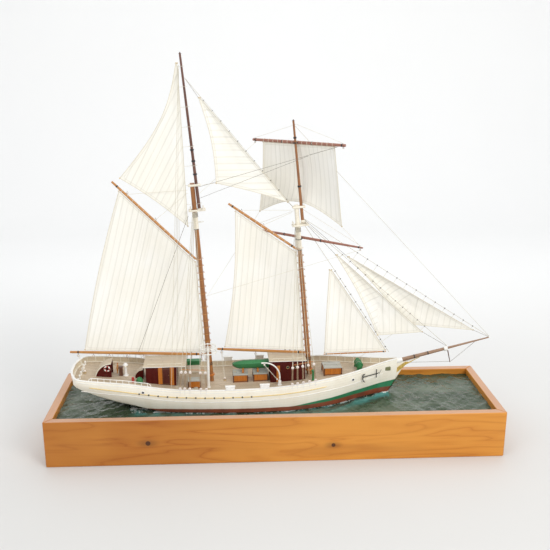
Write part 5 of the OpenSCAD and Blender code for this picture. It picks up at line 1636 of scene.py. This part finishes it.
mast_hoops("mainsail_mast_hoops", main_sw, 70, 262, 13, "main_sail_set", "main_hoops_and_halyards",
    (([-140, -4, 431], [-11, -3, 431]), ([-86, -4, 371], [-11, -3, 425]), ([-158, -5, 71], [-14, -7, 376])))
mast_hoops("foresail_mast_hoops", fore_sw, 62, 276, 14, "fore_sail_set", "fore_hoops_and_halyards",
    (([-120, 0, 388], [-11, 0, 379]), ([-75, 0, 351], [-11, 0, 374])))


def from_mast(foot, rake, p):
    c, s = math.cos(math.radians(rake)), math.sin(math.radians(rake))
    return np.array(foot) + [p[0] * c - p[2] * s, p[1], p[0] * s + p[2] * c]


def truck(foot, rake, heel, length, lean):
    return from_mast(foot, rake, [heel[0] - length * math.sin(math.radians(lean)), 0, heel[2] + length])


MAIN_TRUCK = truck(MAIN_FOOT, MAIN_RAKE, MAIN_HEEL, MAIN_TOP_L, TOP_LEAN_MAIN)
FORE_TRUCK = truck(FORE_FOOT, FORE_RAKE, FORE_HEEL, FORE_TOP_L, TOP_LEAN_FORE)
DEADEYE_R, LANYARD_L, SPREADER_UP = 3.3, 36, 42


def shroud_ends(foot, rake, trees, s, i, x):
    """A shroud's head at the hounds, and its lower deadeye on the rail."""
    head = from_mast(foot, rake, [1.4 * i - 5, s * 7, trees - 4])
    return head, np.array([x, s * (rail_y(x) - 0.5), rail_z(x) + CAP_T + DEADEYE_R])


def deadeye(k, p):
    k.cur = 0
    k.lathe(p - [0, 1.5, 0], [0, 1, 0], [(0, 2.2), (0.5, 3.0), (1.1, 2.75), (1.9, 2.75), (2.5, 3.0),
        (3, 2.2)], 18)
    # painted shade: dark studs on both faces stand for the shaded lanyard holes
    k.cur = 2
    for e in (-1.3, 0, 1.3):
        for face in (-1.6, 1.6):
            k.ball(p + [e, face, 0.7 if e == 0 else -0.5], 0.45, 0.5, (0, 1, 0), 8)


eyes, lines = Batch(), Batch()
for foot, rake, trees, feet in ((MAIN_FOOT, MAIN_RAKE, MAIN_TREES, (-215, -205, -194, -170, -158)),
        (FORE_FOOT, FORE_RAKE, FORE_TREES, (31, 43, 56, 70, 84))):
    for s in (-1, 1):
        ends = []
        for i, x in enumerate(feet):
            head, low = shroud_ends(foot, rake, trees, s, i, x)
            d = unit(head - low)
            up = low + d * LANYARD_L
            ends.append(low + d * SPREADER_UP)
            deadeye(eyes, low)
            deadeye(eyes, up)
            eyes.cur = 1
            for e in (-1.5, 0, 1.5):
                eyes.line(low + [e, 0.5, 0], up + [e, 0.5, 0], 0.3)
                eyes.line(low + [e, -0.5, 0], up + [e + (0.9 if e < 1 else -1.8), -0.5, 0], 0.28)
            eyes.cur = 3
            plate_z = rail_z(x) - 9
            plate = np.array([x, s * (skin_y(x, plate_z) + 0.5), plate_z])
            eyes.tube([low, low - [0, -s * 1.3, 3.2], plate], 0.5, 6)
            lines.cur = 0
            lines.tube(np.array([up + d * 3, up + d * 12, up + d * 13, head]), [0.95, 0.9, 0.55, 0.5], 6)
            for e in (4, 7, 10):
                lines.ring(up + d * e, d, 0.95, 0.3, 10, 5)
        lines.cur = 1
        a, b = ends[0], ends[-1]
        lines.line(a + (a - b) * 0.03, b + (b - a) * 0.03, 0.6)
eyes.make("deadeyes_and_lanyards", [BLOCK, LANYARD, DARKWOOD, WHITE], slot="white_paint",
    replaces=("deadeyes",))
lines.make("served_shrouds", [LINE, ORANGE], slot="cord", replaces=("shrouds",))

FORE_LOW, FORE_CAP, MAIN_TOP = [63, 0, 411], [38.5, 0, 444.3], [-187.7, 0, 716]
STAYS = {"fore": ([266, 0, 99], [63.5, 0, 405], 0.62), "jib": ([404, 0, 110], [63, 0, 412], 0.52),
    "outer": (SPRIT_TIP - [2, 0, -2], [62.4, 0, 418], 0.52),
    "top": (SPRIT_TIP - [0.5, 0, -2], FORE_TRUCK + [3, 0, -12], 0.42), "between": (FORE_CAP, MAIN_TOP, 0.47)}


def hanks(k, g, stay, spots, big, small, ring_mat, tie_mat):
    """Rings on a stay, each tied to the sail's luff."""
    a, b = (np.array(p, float) for p in STAYS[stay][:2])
    d = unit(b - a)
    for v in spots:
        p = at_uv(g, 0.0, v)
        q = a + d * ((p - a) @ d)
        k.cur = ring_mat
        k.ring(q, d, big, small, 14, 6)
        k.cur = tie_mat
        k.line(p, q, 0.4)


k = Batch()
for a, b, r in STAYS.values():
    k.line(a, b, r)
k.cur = 1
k.tube([[412.4, 0, 70], [360, 0, 70.3], [310, 0, 71]], 0.42, 6)
k.tube([[416, 0, 70], [470, 0, 117]], 0.42, 6)
k.cur = 0
for s in (-1, 1):
    for i in (0, 1):
        x = -234 + 12 * i
        k.line([x, s * (rail_y(x) - 0.5), rail_z(x) + CAP_T], MAIN_TRUCK + [-3.4, s * 2, -26 - 8 * i], 0.42)
for g, key, count in ((jb, "jib", 12), (fj, "outer", 13), (ts, "between", 11)):
    hanks(k, g, key, np.linspace(0.02, 0.97, count), 1.35, 0.5, 2, 3)
k.cur = 1
for a, b in ((jb[0, 0], SPRIT_B + [0, 0, 5]), (fj[0, 0], SPRIT_TIP + [-3, 0, 1]), (jb[-1, -1], FORE_LOW),
        (fj[-1, -1], [62.5, 0, 417]), (ts[0, 0], FORE_CAP), (ts[-1, -1], MAIN_TOP)):
    k.line(a, b, 0.42)
k.make("standing_rigging", [LINE, TARRED, IRON, THREAD], slot="cord", replaces=("stays",))

k = Batch()
hanks(k, st, "fore", np.linspace(0.03, 0.97, 11), 1.5, 0.45, 1, 0)
k.make("staysail_hanks", [THREAD, IRON], "staysail_set", "cord")

k = Batch()
main_end = main_sw([-296, 0, 73])[0]
fore_end = fore_sw([-198, 0, 62])[0]
for e, dx, xd in ((main_end, 16, -440), (fore_end, 6, -120)):
    low = np.array([e[0] + dx, 0, deck_z(xd)])
    k.cur = 0
    for o2 in (-0.9, 0.9):
        k.line(e + [o2, 0, 0], low + [o2, 0, 3], 0.42)
    k.cur = 1
    k.ball(low + [0, 0, 4.5], 2.6, 0.6, (0, 1, 0), 14)
    k.cur = 2
    k.ring(low + [0, 0, 0.6], [0, 0, 1], 3.2, 0.6, 20, 6)
k.cur = 0
for s in (-1, 1):
    k.line(yards(yard_end(151, YARD_Z - 4, s, FORE_YARD_TILT))[0], main([8, s * 3, 190])[0], 0.38)
k.line([-129, 0, 498], main([16, 0, MAIN_HEAD - 6])[0], 0.38)
k.line(yards(yard_end(112, TOP_YARD_Z - 4, -1, TOP_YARD_TILT))[0], main([14, 3, MAIN_HEAD - 24])[0], 0.38)
k.cur = 3
BRACE_A = yards(yard_end(101, TOP_YARD_Z - 4, 1, TOP_YARD_TILT))[0]
BRACE_B = main([14, -3, MAIN_HEAD - 9])[0]
BRACE_D = unit(BRACE_B - BRACE_A)
PENDANT = 60
k.line(BRACE_A + BRACE_D * (PENDANT + 2), BRACE_B, 0.4)
k.line(BRACE_A + BRACE_D * (PENDANT + 2) - [0, 0, 1], main([12, -3, MAIN_HEAD - 34])[0], 0.4)
k.cur = 0
k.line([237, 6, 138], [158, rail_y(158) - 5, rail_z(158) + 2], 0.38)
k.line([307, 12, 161], [206, rail_y(206) - 5, rail_z(206) + 2], 0.38)
k.make("running_lines", [THREAD, BLOCK, BRASS, TARRED], slot="cord", replaces=("sheets_and_braces",))

k = Batch()
for s in (-1, 1):
    k.line(yards(yard_end(116, TOP_YARD_Z + 3.8, s, TOP_YARD_TILT))[0],
        yards([s * 1.2, 0, TOP_YARD_Z + 38])[0], 0.38)
    k.line(yards(yard_end(150, YARD_Z + 3.4, s, FORE_YARD_TILT))[0], yards([s * 1.2, 0, YARD_Z + 66])[0],
        0.38)
    k.line(yards(sq[0, 0 if s > 0 else -1])[0], yards(yard_end(150, YARD_Z + 1, s, FORE_YARD_TILT))[0], 0.38)
k.cur = 1
k.line(BRACE_A, BRACE_A + BRACE_D * (PENDANT - 2), 0.55)
k.ball(BRACE_A + BRACE_D * (PENDANT - 1.2), 1.3, 0.7)
k.make("lifts_and_sheets", [THREAD, TARRED], "yard_set", "cord", ("yard_lifts",))

# ---------------------------------------------------------------- floor, light and camera
sheet_m = Nodes("studio_floor", 0.75)
# painted shade: the floor is darker near the camera and lighter far off
floor_painted_shade = sheet_m.between(sheet_m.xyz(sheet_m.coord())[1], -0.3, 1.6)
sheet_col = sheet_m.mix(floor_painted_shade, (0.70, 0.695, 0.68), (0.97, 0.97, 0.965))
sheet_col = sheet_m.mix(sheet_m.noise(sheet_m.coord(), 3, 2), sheet_col,
    shade_mix(sheet_m, sheet_col, (0.98, 0.98, 0.98)))
sheet_m.finish(sheet_col, None, sheet_m.noise(sheet_m.coord(), 300, 2), 0.0002, 0.1)
prof = [(-3.0, 0.0), (2.2, 0.0)] + [(2.2 + 0.9 * math.sin(a), 0.9 - 0.9 * math.cos(a)) for a in
    np.linspace(0.1, math.pi / 2, 12)] + [(3.1, 4.0)]
v = [(x, y, z) for x in (-5, 5) for y, z in prof]
n = len(prof)
floor = mesh_object("studio_floor", np.array(v), [[i, i + 1, n + i + 1, n + i] for i in range(n - 1)],
    sheet_m.mat)

world = bpy.data.worlds.new("studio")
bpy.context.scene.world = world
world.use_nodes = True
world.node_tree.nodes["Background"].inputs[0].default_value = (0.97, 0.985, 1.0, 1)
world.node_tree.nodes["Background"].inputs[1].default_value = 0.72
bpy.context.scene.view_settings.view_transform = "Standard"


def area_light(name, at, target, size, watts, colour=(1, 1, 1)):
    d = bpy.data.lights.new(name, "AREA")
    d.shape, d.size, d.energy, d.color = "SQUARE", size, watts, colour
    o = bpy.data.objects.new(name, d)
    bpy.context.scene.collection.objects.link(o)
    o.location = at
    o.rotation_euler = (Vector(target) - Vector(at)).to_track_quat("-Z", "Y").to_euler()
    return o


area_light("key", (2.0, -2.6, 2.1), (0.15, 0, 0.3), 1.6, 60, (1.0, 0.985, 0.955))
area_light("fill", (-2.4, -2.2, 2.6), (0, 0, 0.6), 1.8, 22, (0.97, 0.98, 1.0))
area_light("overhead", (0.1, 0.6, 3.0), (0, 0, 0.2), 2.4, 20)

cam_data = bpy.data.cameras.new("camera")
FOCAL_PX, IMAGE_PX, SENSOR_MM = 747.16, 550, 36
cam_data.lens, cam_data.sensor_width = FOCAL_PX / IMAGE_PX * SENSOR_MM, SENSOR_MM
cam_data.sensor_fit = "HORIZONTAL"
cam_data.clip_start = 0.05
cam = bpy.data.objects.new("camera", cam_data)
bpy.context.scene.collection.objects.link(cam)
CAM_AT = (-0.0861865, -1.587656, 0.836695)
pitch, yaw, roll = 0.275932, -0.0536073, 0.00208387
fwd = Vector((-math.sin(yaw) * math.cos(pitch), math.cos(yaw) * math.cos(pitch), -math.sin(pitch)))
right = Vector((math.cos(yaw), math.sin(yaw), 0))
up = right.cross(fwd)
r2, u2 = right * math.cos(roll) + up * math.sin(roll), -right * math.sin(roll) + up * math.cos(roll)
m = Matrix((r2, u2, -fwd)).transposed().to_4x4()
m.translation = Vector(CAM_AT)
cam.matrix_world = m
bpy.context.scene.camera = cam
